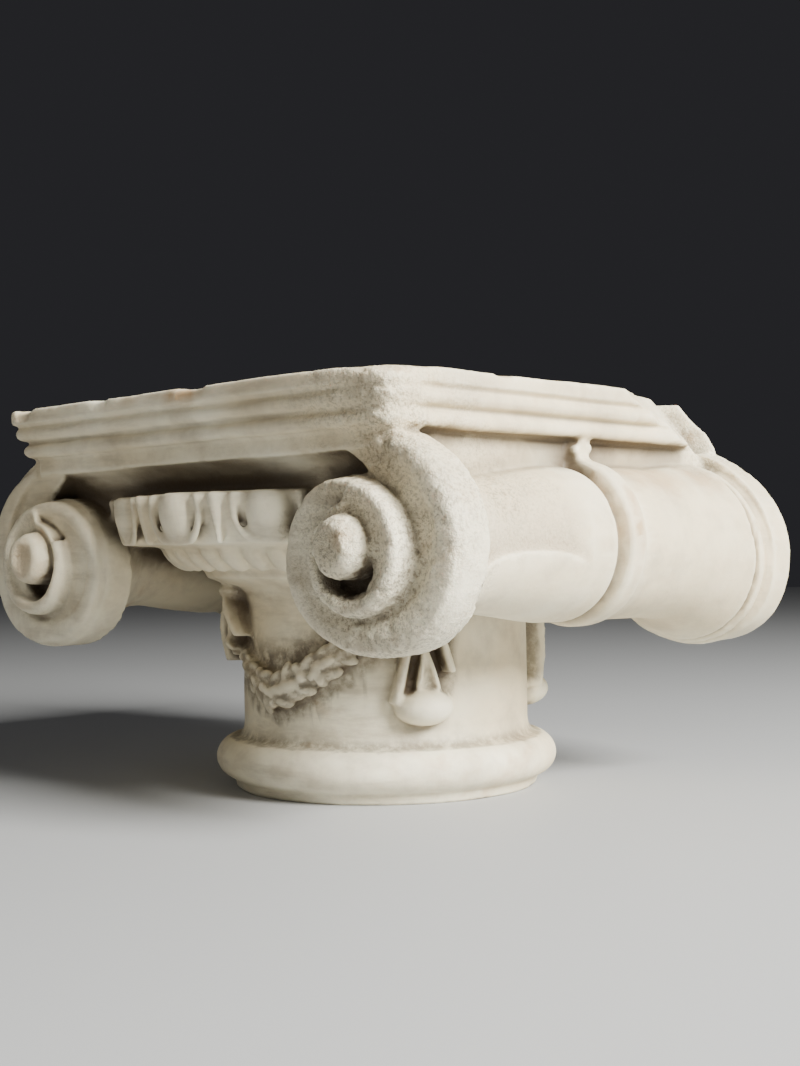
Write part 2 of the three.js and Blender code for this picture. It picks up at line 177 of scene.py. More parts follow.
class Carving:
    """A closed form in millimetres, built with bmesh operators."""

    def __init__(self) -> None:
        """Starts with no stone."""
        self.mesh: BMesh = bmesh.new()

    def turned(self, pairs: Sequence[Pair], steps: int, ring: bool = False) -> "Carving":
        """Spins a profile about +Z.

        Args:
            pairs: Radius and height, from axis to axis.
            steps: How many steps go round.
            ring: Whether the profile closes on itself, away from the axis.

        Returns:
            This carving.
        """
        verts = [self.mesh.verts.new((radius, 0.0, height)) for radius, height in pairs]
        ends = verts[1:] + verts[:1] if ring else verts[1:]
        edges = [self.mesh.edges.new(pair) for pair in zip(verts, ends)]
        bmesh.ops.spin(
            self.mesh,
            geom=verts + edges,
            cent=(0, 0, 0),
            axis=(0, 0, 1),
            angle=TURN,
            steps=steps,
            use_merge=True,
        )
        return self.closed()

    def rod(self, sides: int, steps: int) -> "Carving":
        """Makes a round rod of radius 1 from height 0 to 1.

        Args:
            sides: How many sides its section has.
            steps: How many rings it has along its length.

        Returns:
            This carving.
        """
        ring = bmesh.ops.create_circle(self.mesh, cap_ends=True, radius=1, segments=sides)["verts"]
        edges = list({edge for vert in ring for edge in vert.link_edges})
        for _ in range(steps):
            made = bmesh.ops.extrude_edge_only(self.mesh, edges=edges)["geom"]
            moved = {item for item in made if isinstance(item, BMVert)}
            bmesh.ops.translate(self.mesh, verts=list(moved), vec=(0, 0, 1 / steps))
            edges = [e for e in made if isinstance(e, BMEdge) and set(e.verts) <= moved]
        bmesh.ops.contextual_create(self.mesh, geom=edges)
        return self.closed()

    def ball(self, sides: int = 20) -> "Carving":
        """Makes a ball of radius 1 and returns this carving."""
        bmesh.ops.create_uvsphere(self.mesh, u_segments=sides, v_segments=sides // 2, radius=1)
        return self

    def prism(self, outline: Sequence[Pair], length: float) -> "Carving":
        """Extrudes an outline in the YZ plane along X, to both sides of the origin.

        Args:
            outline: The Y and Z of each corner.
            length: The whole length.

        Returns:
            This carving.
        """
        verts = [self.mesh.verts.new((-length / 2, y, z)) for y, z in outline]
        face = self.mesh.faces.new(verts)
        made = bmesh.ops.extrude_face_region(self.mesh, geom=[face], use_keep_orig=True)["geom"]
        moved = [item for item in made if isinstance(item, BMVert)]
        bmesh.ops.translate(self.mesh, verts=moved, vec=(length, 0, 0))
        return self.closed()

    def cube(self, cuts: int) -> "Carving":
        """Makes a cube of side 1 whose faces have the given number of cuts, and returns this carving."""
        bmesh.ops.create_cube(self.mesh, size=1)
        edges = list(self.mesh.edges)
        bmesh.ops.subdivide_edges(self.mesh, edges=edges, cuts=cuts, use_grid_fill=True)
        return self

    def closed(self) -> "Carving":
        """Merges doubled points, turns the faces outwards and returns this carving."""
        bmesh.ops.remove_doubles(self.mesh, verts=list(self.mesh.verts), dist=DOUBLED)
        bmesh.ops.recalc_face_normals(self.mesh, faces=list(self.mesh.faces))
        return self

    def shaped(self, place: Place) -> "Carving":
        """Moves each point to where a function puts it, and returns this carving."""
        for vert in self.mesh.verts:
            vert.co = place(vert.co.copy())
        bmesh.ops.recalc_face_normals(self.mesh, faces=list(self.mesh.faces))
        return self

    def placed(self, matrix: Matrix) -> "Carving":
        """Moves the whole carving by a matrix and returns it."""
        bmesh.ops.transform(self.mesh, matrix=matrix, verts=list(self.mesh.verts))
        if matrix.determinant() < 0:
            bmesh.ops.reverse_faces(self.mesh, faces=list(self.mesh.faces))
        return self

    def moved(self, x: float, y: float, z: float) -> "Carving":
        """Moves the whole carving by a distance and returns it."""
        return self.placed(Matrix.Translation((x, y, z)))

    def scaled(self, x: float, y: float, z: float) -> "Carving":
        """Stretches the carving along each axis and returns it."""
        return self.placed(Matrix.Diagonal((x, y, z, 1)))

    def rotated(self, angle: float, axis: str) -> "Carving":
        """Turns the carving about an axis, by degrees, and returns it."""
        return self.placed(Matrix.Rotation(math.radians(angle), 4, axis))

    def copy(self) -> "Carving":
        """Returns a second carving of the same form."""
        twin = Carving()
        twin.mesh.free()
        twin.mesh = self.mesh.copy()
        return twin

    def with_(self, *others: "Carving") -> "Carving":
        """Adds other carvings to this one and returns it."""
        for other in others:
            data = bpy.data.meshes.new("part")
            other.mesh.to_mesh(data)
            self.mesh.from_mesh(data)
            bpy.data.meshes.remove(data)
        return self

    def to_object(self, name: str) -> bpy.types.Object:
        """Returns a new object with this carving as its mesh."""
        data = bpy.data.meshes.new(name)
        self.mesh.to_mesh(data)
        return linked(name, data)


def baked(thing: bpy.types.Object) -> bpy.types.Mesh:
    """Returns the mesh of an object with its modifiers applied."""
    shown = thing.evaluated_get(bpy.context.evaluated_depsgraph_get())
    return bpy.data.meshes.new_from_object(shown)


def linked(name: str, data: bpy.types.ID) -> bpy.types.Object:
    """Returns a new object in the scene that shows the given data."""
    thing = bpy.data.objects.new(name, data)
    bpy.context.scene.collection.objects.link(thing)
    return thing


def discard(*things: bpy.types.Object) -> None:
    """Deletes objects and their meshes."""
    for thing in things:
        data = thing.data
        bpy.data.objects.remove(thing)
        bpy.data.meshes.remove(data)


@dataclass(frozen=True)
class Speckle:
    """Smooth random values in space, the same in every run."""

    size: float
    seed: int
    octaves: int = 1

    def at(self, points: np.ndarray) -> np.ndarray:
        """Reads the values at points.

        Args:
            points: Rows of X, Y and Z in millimetres.

        Returns:
            One value for each row, mostly between -1 and 1.
        """
        total = np.zeros(len(points))
        for octave in range(self.octaves):
            share = 0.5**octave
            total += share * self._layer(points / (self.size * share), self.seed + octave)
        return total

    @staticmethod
    def _layer(places: np.ndarray, seed: int) -> np.ndarray:
        """Reads one octave of the values.

        Args:
            places: Rows of places in a lattice of cubes of side 1.
            seed: Which values its corners have.

        Returns:
            One value for each row, between -1 and 1.
        """
        corner = np.floor(places).astype(np.int64)
        local = places - corner
        eased = local * local * (3 - 2 * local)
        total = np.zeros(len(places))
        for step in np.ndindex(2, 2, 2):
            cell = corner + np.array(step)
            mixed = cell @ np.array(SCRAMBLE[:3]) + seed * SCRAMBLE[3]
            mixed = (mixed ^ (mixed >> 13)) * STIR
            value = ((mixed ^ (mixed >> 16)) & 0xFFFF) / (0xFFFF / 2) - 1
            weight = np.prod(np.where(np.array(step) == 1, eased, 1 - eased), axis=1)
            total += weight * value
        return total


@dataclass(frozen=True)
class Levels:
    """The heights and widths that the parts of the stone share, in millimetres."""

    height: float = 155.0
    abacus_width: float = 220.0
    abacus_thickness: float = 20.0
    abacus_undercut: float = 6.0
    block_width: float = 198.0
    block_height: float = 23.0
    listel_height: float = 6.5
    channel_depth: float = 12.0
    echinus_height: float = 19.5
    tongue_row_height: float = 9.0
    collar_height: float = 5.0

    @property
    def abacus_half(self) -> float:
        """Half the width of the slab."""
        return self.abacus_width / 2

    @property
    def abacus_bottom(self) -> float:
        """The underside of the slab."""
        return self.height - self.abacus_thickness

    @property
    def echinus_top(self) -> float:
        """The flat top of the row of eggs."""
        return self.abacus_bottom - self.listel_height - self.channel_depth + 1

    @property
    def echinus_bottom(self) -> float:
        """The line between the eggs and the tongues."""
        return self.echinus_top - self.echinus_height

    @property
    def tongue_row_bottom(self) -> float:
        """The lower edge of the tongues."""
        return self.echinus_bottom - self.tongue_row_height

    @property
    def neck_top(self) -> float:
        """Where the neck meets its collar."""
        return self.tongue_row_bottom - self.collar_height


@dataclass(frozen=True)
class Slab:
    """The square abacus with its three mouldings, the plain block under it and the broken corner."""

    levels: Levels
    corner_radius: float = 5.0
    roll: float = 3.0
    roll_chords: int = 8
    lower_sweep: Pair = (-80, 62)
    upper_sweep: Pair = (-66, 64)
    groove: float = 4.0
    arris: float = 1.2
    spall_start: float = 26.0
    spall_setback: float = 3.0
    spall_length: float = 66.0
    spall_turn: float = 26.5
    spall_slope: float = 51.0
    stump_setback: float = 21.0
    stump_turn: float = 47.0
    stump_slope: float = 55.0
    roughness: float = 1.6
    coarse: Speckle = Speckle(17, 3, 2)
    fine: Speckle = Speckle(5, 9, 2)
    fine_share: float = 0.35
    facet_cuts: int = 34
    quarter_steps: int = 28

    def profile(self) -> list[Pair]:
        """Returns the section of the slab from its underside to its top."""
        low = self.levels.abacus_bottom
        high = self.levels.height
        half = self.levels.abacus_half
        foot = half - self.levels.abacus_undercut
        lower = arc((foot - 0.2, low + self.roll + 0.4), self.roll, *self.lower_sweep, self.roll_chords)
        middle = (half - self.roll - 1.1, low + 3.4 * self.roll + 0.2)
        upper = arc(middle, self.roll, *self.upper_sweep, self.roll_chords)
        fillet = [(half - self.groove - 1.6, high - 6.4), (half - 0.5, high - 5.7), (half, high - 5)]
        edge = arc((half - self.arris, high - self.arris), self.arris, 0, 90, 3)
        return [(0, low), *lower, (foot - 0.9, low + 2.2 * self.roll), *upper, *fillet, *edge, (0, high)]

    def squared(self, point: Vector) -> Vector:
        """Moves a point of the turned slab out to a square with round corners.

        Args:
            point: A point of the turned slab.

        Returns:
            Its place on the square slab.
        """
        radius = math.hypot(point.x, point.y)
        share = (math.atan2(point.y, point.x) / TURN) % 1 * 4
        side = int(share + 1e-6)
        local = share - side
        corner = self.corner_radius * min(1, radius / self.levels.abacus_half)
        straight = radius - corner
        turn = side * QUARTER
        if local < 0.5:
            bend = local * 2 * QUARTER
            place = Vector((straight + corner * math.cos(bend), straight + corner * math.sin(bend)))
            turn -= QUARTER
        else:
            place = Vector((radius, straight * (4 * local - 3)))
        place.rotate(Matrix.Rotation(turn, 2))
        return Vector((place.x, place.y, point.z))

    def block(self) -> Carving:
        """Returns the block, with the hollow channel along both volute faces."""
        low = self.levels.abacus_bottom
        depth = self.levels.channel_depth
        front = self.levels.abacus_half - self.levels.abacus_undercut - 1.6
        listel = low - self.levels.listel_height
        floor = front - depth
        right = [
            (floor, low - self.levels.block_height),
            *reversed(arc((front, listel - depth), depth, 90, 180, 10)),
            (front - 0.2, listel + 0.6),
            (front - 0.2, low + 5),
        ]
        left = [(-y, z) for y, z in reversed(right)]
        return Carving().prism(right + left, self.levels.block_width)

    def cutter(self, place: Vector, turn: float, slope: float, reach: float) -> Carving:
        """Makes a rough block whose near face is one facet of the break.

        Args:
            place: A point on the facet.
            turn: How far the facet's outward normal is turned from +X, in degrees.
            slope: How far the facet leans back, in degrees.
            reach: How long the facet is.

        Returns:
            The block.
        """
        size = self.levels.abacus_width
        carving = Carving().cube(self.facet_cuts).scaled(size, reach, size).moved(size / 2, 0, 0)

        def roughened(point: Vector) -> Vector:
            """Moves a point of the near face by the grain of the break."""
            row = np.array([point])
            if point.x < 1:
                rise = self.roughness * float(self.coarse.at(row)[0])
                point.x += rise + self.fine_share * self.roughness * float(self.fine.at(row)[0])
            return point

        carving.shaped(roughened)
        return carving.rotated(slope - 90, "Y").rotated(turn, "Z").moved(*place)

    def build(self) -> Carving:
        """Returns the slab and its block with the corner broken off."""
        half = self.levels.abacus_half
        slab = Carving().turned(self.profile(), 4 * self.quarter_steps).shaped(self.squared)
        slab.with_(self.block())
        start = Vector((half - self.spall_setback, self.spall_start, self.levels.height))
        tip = Vector((half - self.stump_setback, half - self.stump_setback, self.levels.height))
        cutters = [
            self.cutter(start, self.spall_turn, self.spall_slope, 2 * self.spall_length),
            self.cutter(tip, self.stump_turn, self.stump_slope, self.levels.abacus_width),
        ]
        stone = slab.to_object("slab")
        tools = [cutter.to_object("break") for cutter in cutters]
        for tool in tools:
            cut = stone.modifiers.new("break", "BOOLEAN")
            cut.operation = "DIFFERENCE"
            cut.solver = "EXACT"
            cut.use_self = True
            cut.object = tool
        result = Carving()
        data = baked(stone)
        result.mesh.from_mesh(data)
        bpy.data.meshes.remove(data)
        discard(stone, *tools)
        return result


@dataclass(frozen=True)
class Core:
    """The round middle: foot, rounded ring, neck, collar and the sloping beds of the echinus."""

    levels: Levels
    foot_radius: float = 62.0
    foot_height: float = 4.5
    torus_radius: float = 70.0
    torus_height: float = 16.0
    neck_radius: float = 58.5
    collar_radius: float = 73.0
    tongue_bed: float = 81.6
    tongue_bed_top: float = 91.0
    egg_bed: float = 102.2
    egg_bed_top: float = 109.4
    steps: int = 180

    def build(self) -> Carving:
        """Returns the turned core."""
        low = self.foot_height
        half = self.torus_height / 2
        neck = self.neck_radius
        levels = self.levels
        pairs = [
            (0, 0),
            (self.foot_radius - 0.8, 0),
            (self.foot_radius, 0.8),
            (self.foot_radius + 0.6, low - 0.4),
            *arc((self.torus_radius - half, low + half), half, -84, 80, 14),
            (neck + 2.2, low + self.torus_height + 0.4),
            (neck + 0.4, low + self.torus_height + 3),
            (neck, low + self.torus_height + 6),
            (neck, levels.neck_top - 10),
            (neck + 1, levels.neck_top - 5),
            (neck + 4, levels.neck_top - 2),
            (self.collar_radius - 4, levels.neck_top),
            (self.collar_radius, levels.neck_top + 1.5),
            (self.collar_radius + 2, levels.tongue_row_bottom),
            (self.tongue_bed, levels.tongue_row_bottom + 0.5),
            (self.tongue_bed_top, levels.echinus_bottom),
            (self.egg_bed, levels.echinus_bottom + 0.4),
            ((self.egg_bed + self.egg_bed_top) / 2 + 1, levels.echinus_bottom + levels.echinus_height / 2),
            (self.egg_bed_top, levels.echinus_top),
            (0, levels.echinus_top + 2),
        ]
        return Carving().turned(pairs, self.steps)


@dataclass(frozen=True)
class EggAndDart:
    """The eggs with their husks and darts, and the row of leaning tongues below them."""

    levels: Levels
    radius: float = 113.0
    egg_count: int = 16
    egg_width: float = 24.6
    relief: float = 4.0
    lean: float = 0.12
    seam: float = 0.3
    husk: Pair = (2.1, 1.5)
    shown: int = 1
    tongue_count: int = 48
    tongue_radius: float = 93.5
    tongue_lower_radius: float = 84.0
    tongue_relief: float = 2.4
    tongue_reach: float = 82.0

    def egg(self) -> Carving:
        """Returns the egg at the middle of the -Y face, with its husk."""
        half = self.egg_width / 2
        high = self.levels.echinus_height
        top = self.levels.echinus_top
        body = Carving().ball(24).scaled(half * 0.78, self.relief * 1.7, high * 0.62)
        body.moved(0, -self.radius + self.relief * 1.5, top - high * 0.38)

        def husk_place(point: Vector) -> Vector:
            """Bends a point of a rod to the oval round the egg."""
            angle = point.z * TURN
            out = Vector((math.cos(angle), 0, math.sin(angle)))
            ring = Vector((half * 1.12 * out.x, 0, high * 0.74 * out.z))
            return ring + out * point.x * self.husk[0] + Vector((0, point.y * self.husk[1], 0))

        husk = Carving().rod(8, 48).shaped(husk_place)
        husk.moved(0, -self.radius + self.relief * 0.9, top - high * 0.3)
        both = body.with_(husk)
        low = self.levels.echinus_bottom + self.seam

        def leaned(point: Vector) -> Vector:
            """Leans a point with the echinus and keeps it in its row."""
            return Vector((point.x, point.y + (top - point.z) * self.lean, clamp(point.z, low, top)))

        return both.shaped(leaned)

    def dart(self) -> Carving:
        """Returns the pointed dart beside the middle of the -Y face."""
        high = self.levels.echinus_height
        low = self.levels.echinus_bottom + self.seam
        top = self.levels.echinus_top

        def place(point: Vector) -> Vector:
            """Tapers a point of a rod to the dart."""
            share = point.z
            wide = self.egg_width * 0.13 * (1.15 - share * 0.75)
            deep = self.relief * lerp(0.95, 0.55, share)
            drop = clamp(top - share * (top - low), low, top)
            back = -self.radius + self.relief * 0.9 + point.y * deep + share * high * 0.16
            return Vector((point.x * wide, back, drop))

        return Carving().rod(10, 12).shaped(place)

    def tongue(self) -> Carving:
        """Returns one leaning tongue at the middle of the -Y face."""
        middle = (self.tongue_radius + self.tongue_lower_radius) / 2
        run = self.tongue_radius - self.tongue_lower_radius
        lean = math.degrees(math.atan2(run, self.levels.tongue_row_height))
        length = math.hypot(run, self.levels.tongue_row_height)
        half = middle * math.pi / self.tongue_count
        ball = Carving().ball(14).scaled(half * 0.93, self.tongue_relief * 1.5, length * 0.62)
        ball.rotated(lean, "X")
        level = (self.levels.echinus_bottom + self.levels.tongue_row_bottom) / 2 + 0.6
        return ball.moved(0, -middle + self.tongue_relief * 1.3, level)

    def build(self) -> Carving:
        """Returns the eggs, darts and tongues round the stone."""
        whole = Carving()
        pitch = 360 / self.egg_count
        egg = self.egg()
        dart = self.dart()
        for face in (0, 180):
            for i in range(-self.shown, self.shown + 1):
                whole.with_(egg.copy().rotated(face + i * pitch, "Z"))
            for i in range(-self.shown - 1, self.shown + 1):
                whole.with_(dart.copy().rotated(face + (i + 0.5) * pitch, "Z"))
        tongue = self.tongue()
        for i in range(self.tongue_count):
            turn = (i + 0.5) * 360 / self.tongue_count
            if abs(math.sin(math.radians(turn))) * self.tongue_radius < self.tongue_reach:
                whole.with_(tongue.copy().rotated(turn, "Z"))
        return whole


@dataclass(frozen=True)
class Volute:
    """One volute: the band that winds into the eye, the floor behind it and the plain rim."""

    levels: Levels
    side: Side
    drop: float
    lean: float = 0.0
    spacing: float = 180.0
    height: float = 94.0
    radii: tuple[float, ...] = (41, 42.4, 31.5, 35, 25.5, 24, 19.5, 17.5, 20)
    band: tuple[float, ...] = (3.7, 6.0, 4.6, 3.4, 2.7, 3.0, 2.9, 2.0, 1.6)
    fronts: tuple[float, ...] = (103.5, 104.5, 104.8, 106, 110.5, 112, 112, 111, 110)
    beds: tuple[float, ...] = (101.0, 101.8, 103.0, 104.6, 107.5)
    bed_start: float = 0.45
    floor: float = 100.6
    rim: float = 12.6
    rim_lip: float = 1.3
    hole: float = 10.2
    hole_low: float = 12.8
    hole_floor: float = 100.7
    dish: float = 108.6
    eye_radius: float = 10.4
    eye_rise: float = 3.2
    eye_front: float = 118.2
    first_turn: float = 0.8
    start_angle: float = 1.25
    unwound: float = 1.8
    boxiness: float = 0.7
    ring_gap: float = 2.2
    rim_turns: float = 3.9

    def spiral(self, quarters: float, inset: float) -> Pair:
        """Finds a point of the spiral seen from the front.

        Args:
            quarters: How many quarter turns it has wound inwards.
            inset: How far inside the outer edge the point is.

        Returns:
            Its X and Z.
        """
        if quarters < self.first_turn:
            angle = self.start_angle * (1 - quarters / self.first_turn)
            index = quarters / self.first_turn
        else:
            angle = -(quarters - self.first_turn) * QUARTER
            index = quarters - self.first_turn + 1
        stretch = self.drop * max(0.0, 1 - quarters / self.first_turn)
        radius = along(self.radii, index / (len(self.radii) - 1)) - inset + stretch
        x = self.spacing / 2 + radius * math.cos(angle)
        return x, self.height - self.drop + radius * math.sin(angle)

    def winding(self) -> Carving:
        """Returns the raised band with steep flanks, thinner as it winds in and closing on itself."""
        last = len(self.radii) - self.unwound

        def place(point: Vector) -> Vector:
            """Lays a point of a rod along the spiral."""
            quarters = point.z * last
            share = quarters / (len(self.radii) - 1)
            thick = along(self.band, share)
            start = min(1.0, 0.5 + point.z * 14)
            x, z = self.spiral(quarters, thick)
            ahead_x, ahead_z = self.spiral(quarters + 0.02, thick)
            heading = Vector((ahead_x - x, ahead_z - z)).normalized()
            out = math.copysign(abs(point.x) ** self.boxiness, point.x) * thick * start
            front = along(self.fronts, share)
            back = self.floor - 2
            deep = math.copysign(abs(point.y) ** self.boxiness, point.y)
            return Vector((
                x - heading.y * out,
                -lerp(back, front, (1 + deep * start) / 2),
                z + heading.x * out,
            ))

        return Carving().rod(24, 170).shaped(place)

    def bed(self) -> Carving:
        """Returns the hollow between the turns of the band, shallower as it winds in."""
        turn = len(self.beds) - 1
        outer = [radius - 2 * band for radius, band in zip(self.radii, self.band)][: turn + 1]
        inner = self.radii[turn:]

        def place(point: Vector) -> Vector:
            """Lays a point of a rod along the channel."""
            index = lerp(self.bed_start, turn, point.z)
            share = index / turn
            low = along(inner, share)
            high = max(along(outer, share), low + 0.5)
            radius = lerp(low - 1.2, high + 1.2, (1 + point.x) / 2)
            angle = (1 - index) * QUARTER
            deep = math.copysign(abs(point.y) ** 0.3, point.y)
            front = lerp(self.floor - 2, along(self.beds, share), (1 + deep) / 2)
            return Vector((radius * math.cos(angle), -front, radius * math.sin(angle)))

        return Carving().rod(16, 70).shaped(place).moved(self.spacing / 2, 0, self.height - self.drop)

    def disc(self) -> Carving:
        """Returns the floor of the channel with the plain rim round it."""
        steps = 64
        outline = [self.spiral(self.rim_turns * i / steps, -self.rim_lip) for i in range(steps + 1)]
        outline.append((self.spacing / 2 - 14, self.levels.abacus_bottom - 2))
        disc = Carving().prism(outline, self.rim)
        swap = Matrix(((0, 1, 0, 0), (1, 0, 0, 0), (0, 0, 1, 0), (0, 0, 0, 1)))
        return disc.placed(swap).moved(0, -self.floor + self.rim / 2, 0)

    def ring(self) -> Carving:
        """Returns the hollowed face between the inner turn of the band and the hole for the eye."""
        section = [
            (0.0, self.floor - 3),
            (0.0, self.dish - 1.2),
            (0.12, self.dish - 0.5),
            (0.45, self.dish),
            (0.8, self.dish + 1.6),
            (1.0, self.dish + 2.6),
            (1.0, self.floor - 3),
        ]

        def place(point: Vector) -> Vector:
            """Winds a point of the ring out to the inner turn of the band."""
            share = math.hypot(point.x, point.y) - 1
            angle = math.atan2(point.y, point.x)
            wound = ((QUARTER - angle) / QUARTER) % 4
            outer = along(self.radii[4:], wound / 4) - self.ring_gap
            hole = lerp(self.hole, self.hole_low, max(0.0, -math.sin(angle)))
            radius = lerp(hole, max(outer, hole + 1), share)
            return Vector((radius * math.cos(angle), -point.z, radius * math.sin(angle)))

        pairs = [(1 + share, depth) for share, depth in section]
        face = Carving().turned(pairs, 72, ring=True).shaped(place)
        return face.moved(self.spacing / 2, 0, self.height - self.drop)

    def eye(self) -> Carving:
        """Returns the domed eye, set high in its hole."""
        radius = self.eye_radius
        length = self.eye_front - self.floor
        pairs = [
            (0, -4),
            (radius + 1.5, -4),
            (radius + 0.3, self.hole_floor - self.floor + 2),
            (radius, length - radius * 0.62),
            *arc((radius * 0.66, length - radius * 0.46), radius * 0.3, 8, 80, 5),
            (radius * 0.45, length - radius * 0.19),
            (0, length - radius * 0.22),
        ]
        dome = Carving().turned(pairs, 40).rotated(90, "X").moved(0, 0, self.eye_rise)
        floor = self.hole_floor - self.floor
        plug = [(0, -4), (self.hole_low, -4), (self.hole_low, floor), (0, floor)]
        dome.with_(Carving().turned(plug, 40).rotated(90, "X"))
        curl = Carving().rod(10, 40).shaped(self.curled)
        return dome.with_(curl).moved(self.spacing / 2, -self.floor, self.height - self.drop)

    def curled(self, point: Vector) -> Vector:
        """Lays a point of a rod along the small curl on the eye.

        Args:
            point: A point of the rod.

        Returns:
            Its place on the eye.
        """
        angle = lerp(2.7, -1.9, point.z)
        radius = self.eye_radius * lerp(0.62, 0.52, point.z)
        thick = self.eye_radius * 0.3 * math.sin(math.pi * clamp(point.z, 0.04, 0.96)) ** 0.6
        out = radius + point.x * thick
        front = self.eye_front - self.floor - self.eye_radius * 0.3
        height = self.eye_rise + out * math.sin(angle)
        return Vector((out * math.cos(angle), -front - point.y * thick, height))

    def leaned(self, point: Vector) -> Vector:
        """Moves a point of the volute to the one that leans in at its top."""
        above = (point.z - self.height + self.drop) / LEAN_REACH
        return Vector((point.x - self.lean * max(0.0, 1 + above), point.y, point.z))

    def build(self) -> Carving:
        """Returns the volute in its place."""
        whole = self.winding().with_(self.disc(), self.bed(), self.ring(), self.eye()).shaped(self.leaned)
        sign_x, sign_y = self.side.value
        return whole.scaled(sign_x, -sign_y, 1)


@dataclass(frozen=True)
class Bolster:
    """One bolster: a waisted half and a fuller one, tied by a ring under a small knob."""

    levels: Levels
    sign: int
    spacing: float = 192.0
    height: float = 97.0
    radius: float = 28.5
    waist: float = 23.5
    near_flare: float = 33.5
    far_flare: float = 37.0
    tie: float = 31.2
    tie_width: float = 10.0
    tie_lean: float = 1.2
    end: float = 89.0
    knob: float = 5.0
    near_drop: float = 1.5
    far_drop: float = 5.0
    flare_start: float = 0.6
    widening: float = 0.06
    setback: float = 3.5
    petal: Point = (2.4, 2.6, 2.6)
    petal_turns: tuple[float, ...] = (0.5, 1.7, 2.9, 4.1, 5.3)
    lean: float = 0.0

    def profile(self) -> list[Pair]:
        """Returns the radius and the place along Y from one end to the other."""
        near = -self.end
        far = self.end
        half = self.tie_width / 2
        bed = half + 1.1
        return [
            (0, near),
            (self.near_flare, near),
            (self.near_flare - 1.5, near + 4),
            (self.waist + 5.5, near + 8),
            (self.waist + 2, near + 16),
            (self.waist, near + 26),
            (self.waist + 0.2, near + 34),
            (self.waist + 1.7, near + 44),
            (self.radius - 1.6, near + 56),
            (self.radius - 0.2, near + 68),
            (self.radius, near + 76),
            (self.radius + 0.1, -bed - 3),
            (self.radius - 1.2, -bed - 1.2),
            (self.radius - 3.4, -bed),
            *[(self.tie - 2.2 + r, y) for r, y in arc((0, -half + 2.2), 2.2, -90, -10, 4)],
            *[(self.tie - 2.2 + r, y) for r, y in arc((0, half - 2.2), 2.2, 10, 90, 4)],
            (self.radius - 3.4, bed),
            (self.radius - 1.2, bed + 1.0),
            (self.radius + 0.2, bed + 3),
            (self.radius + 0.6, far - 62),
            (self.radius + 0.5, far - 46),
            (self.radius + 1.5, far - 36),
            (self.radius + 4, far - 26),
            (self.far_flare - 2.2, far - 16),
            (self.far_flare - 0.6, far - 11.5),
            (self.far_flare - 6.5, far - 10.2),
            (self.far_flare - 0.6, far - 8.4),
            (self.far_flare, far - 5.2),
            (self.far_flare - 4.6, far - 3.9),
            (self.far_flare + 0.1, far - 2.4),
            (self.far_flare + 0.2, far),
            (0, far),
        ]

    def bent(self, point: Vector) -> Vector:
        """Moves a point of the turned bolster to the hand-carved, uneven one.

        Args:
            point: A point of the turned bolster.

        Returns:
            Its place on the uneven one.
        """
        flare = max(0.0, (abs(point.y) / self.end - self.flare_start) / (1 - self.flare_start))
        drop = self.far_drop if point.y > 0 else self.near_drop
        lean = self.tie_lean if abs(point.y) <= self.tie_width / 2 else 0.0
        inwards = self.setback + (self.lean * max(0.0, 1 + point.z / LEAN_REACH) if point.y > 0 else 0.0)
        x = point.x * (1 + self.widening * flare) + lean - inwards * flare
        return Vector((x, point.y, point.z + lean / 2 - drop * flare))

    def build(self) -> Carving:
        """Returns the bolster in its place."""
        body = Carving().turned(self.profile(), 96).rotated(-90, "X").shaped(self.bent)
        body.moved(self.spacing / 2, 0, self.height)
        level = self.levels.abacus_bottom - self.knob * 0.9
        knob = Carving().ball(16).scaled(self.knob, self.knob * 1.3, self.knob)
        knob.moved(self.levels.block_width / 2, 0, level)
        petals = [
            Carving().ball(10).scaled(*self.petal).moved(
                self.levels.block_width / 2 + 3.4, 3.6 * math.cos(a), level + 3.2 * math.sin(a)
            )
            for a in self.petal_turns
        ]
        return body.with_(knob, *petals).scaled(self.sign, 1, 1)


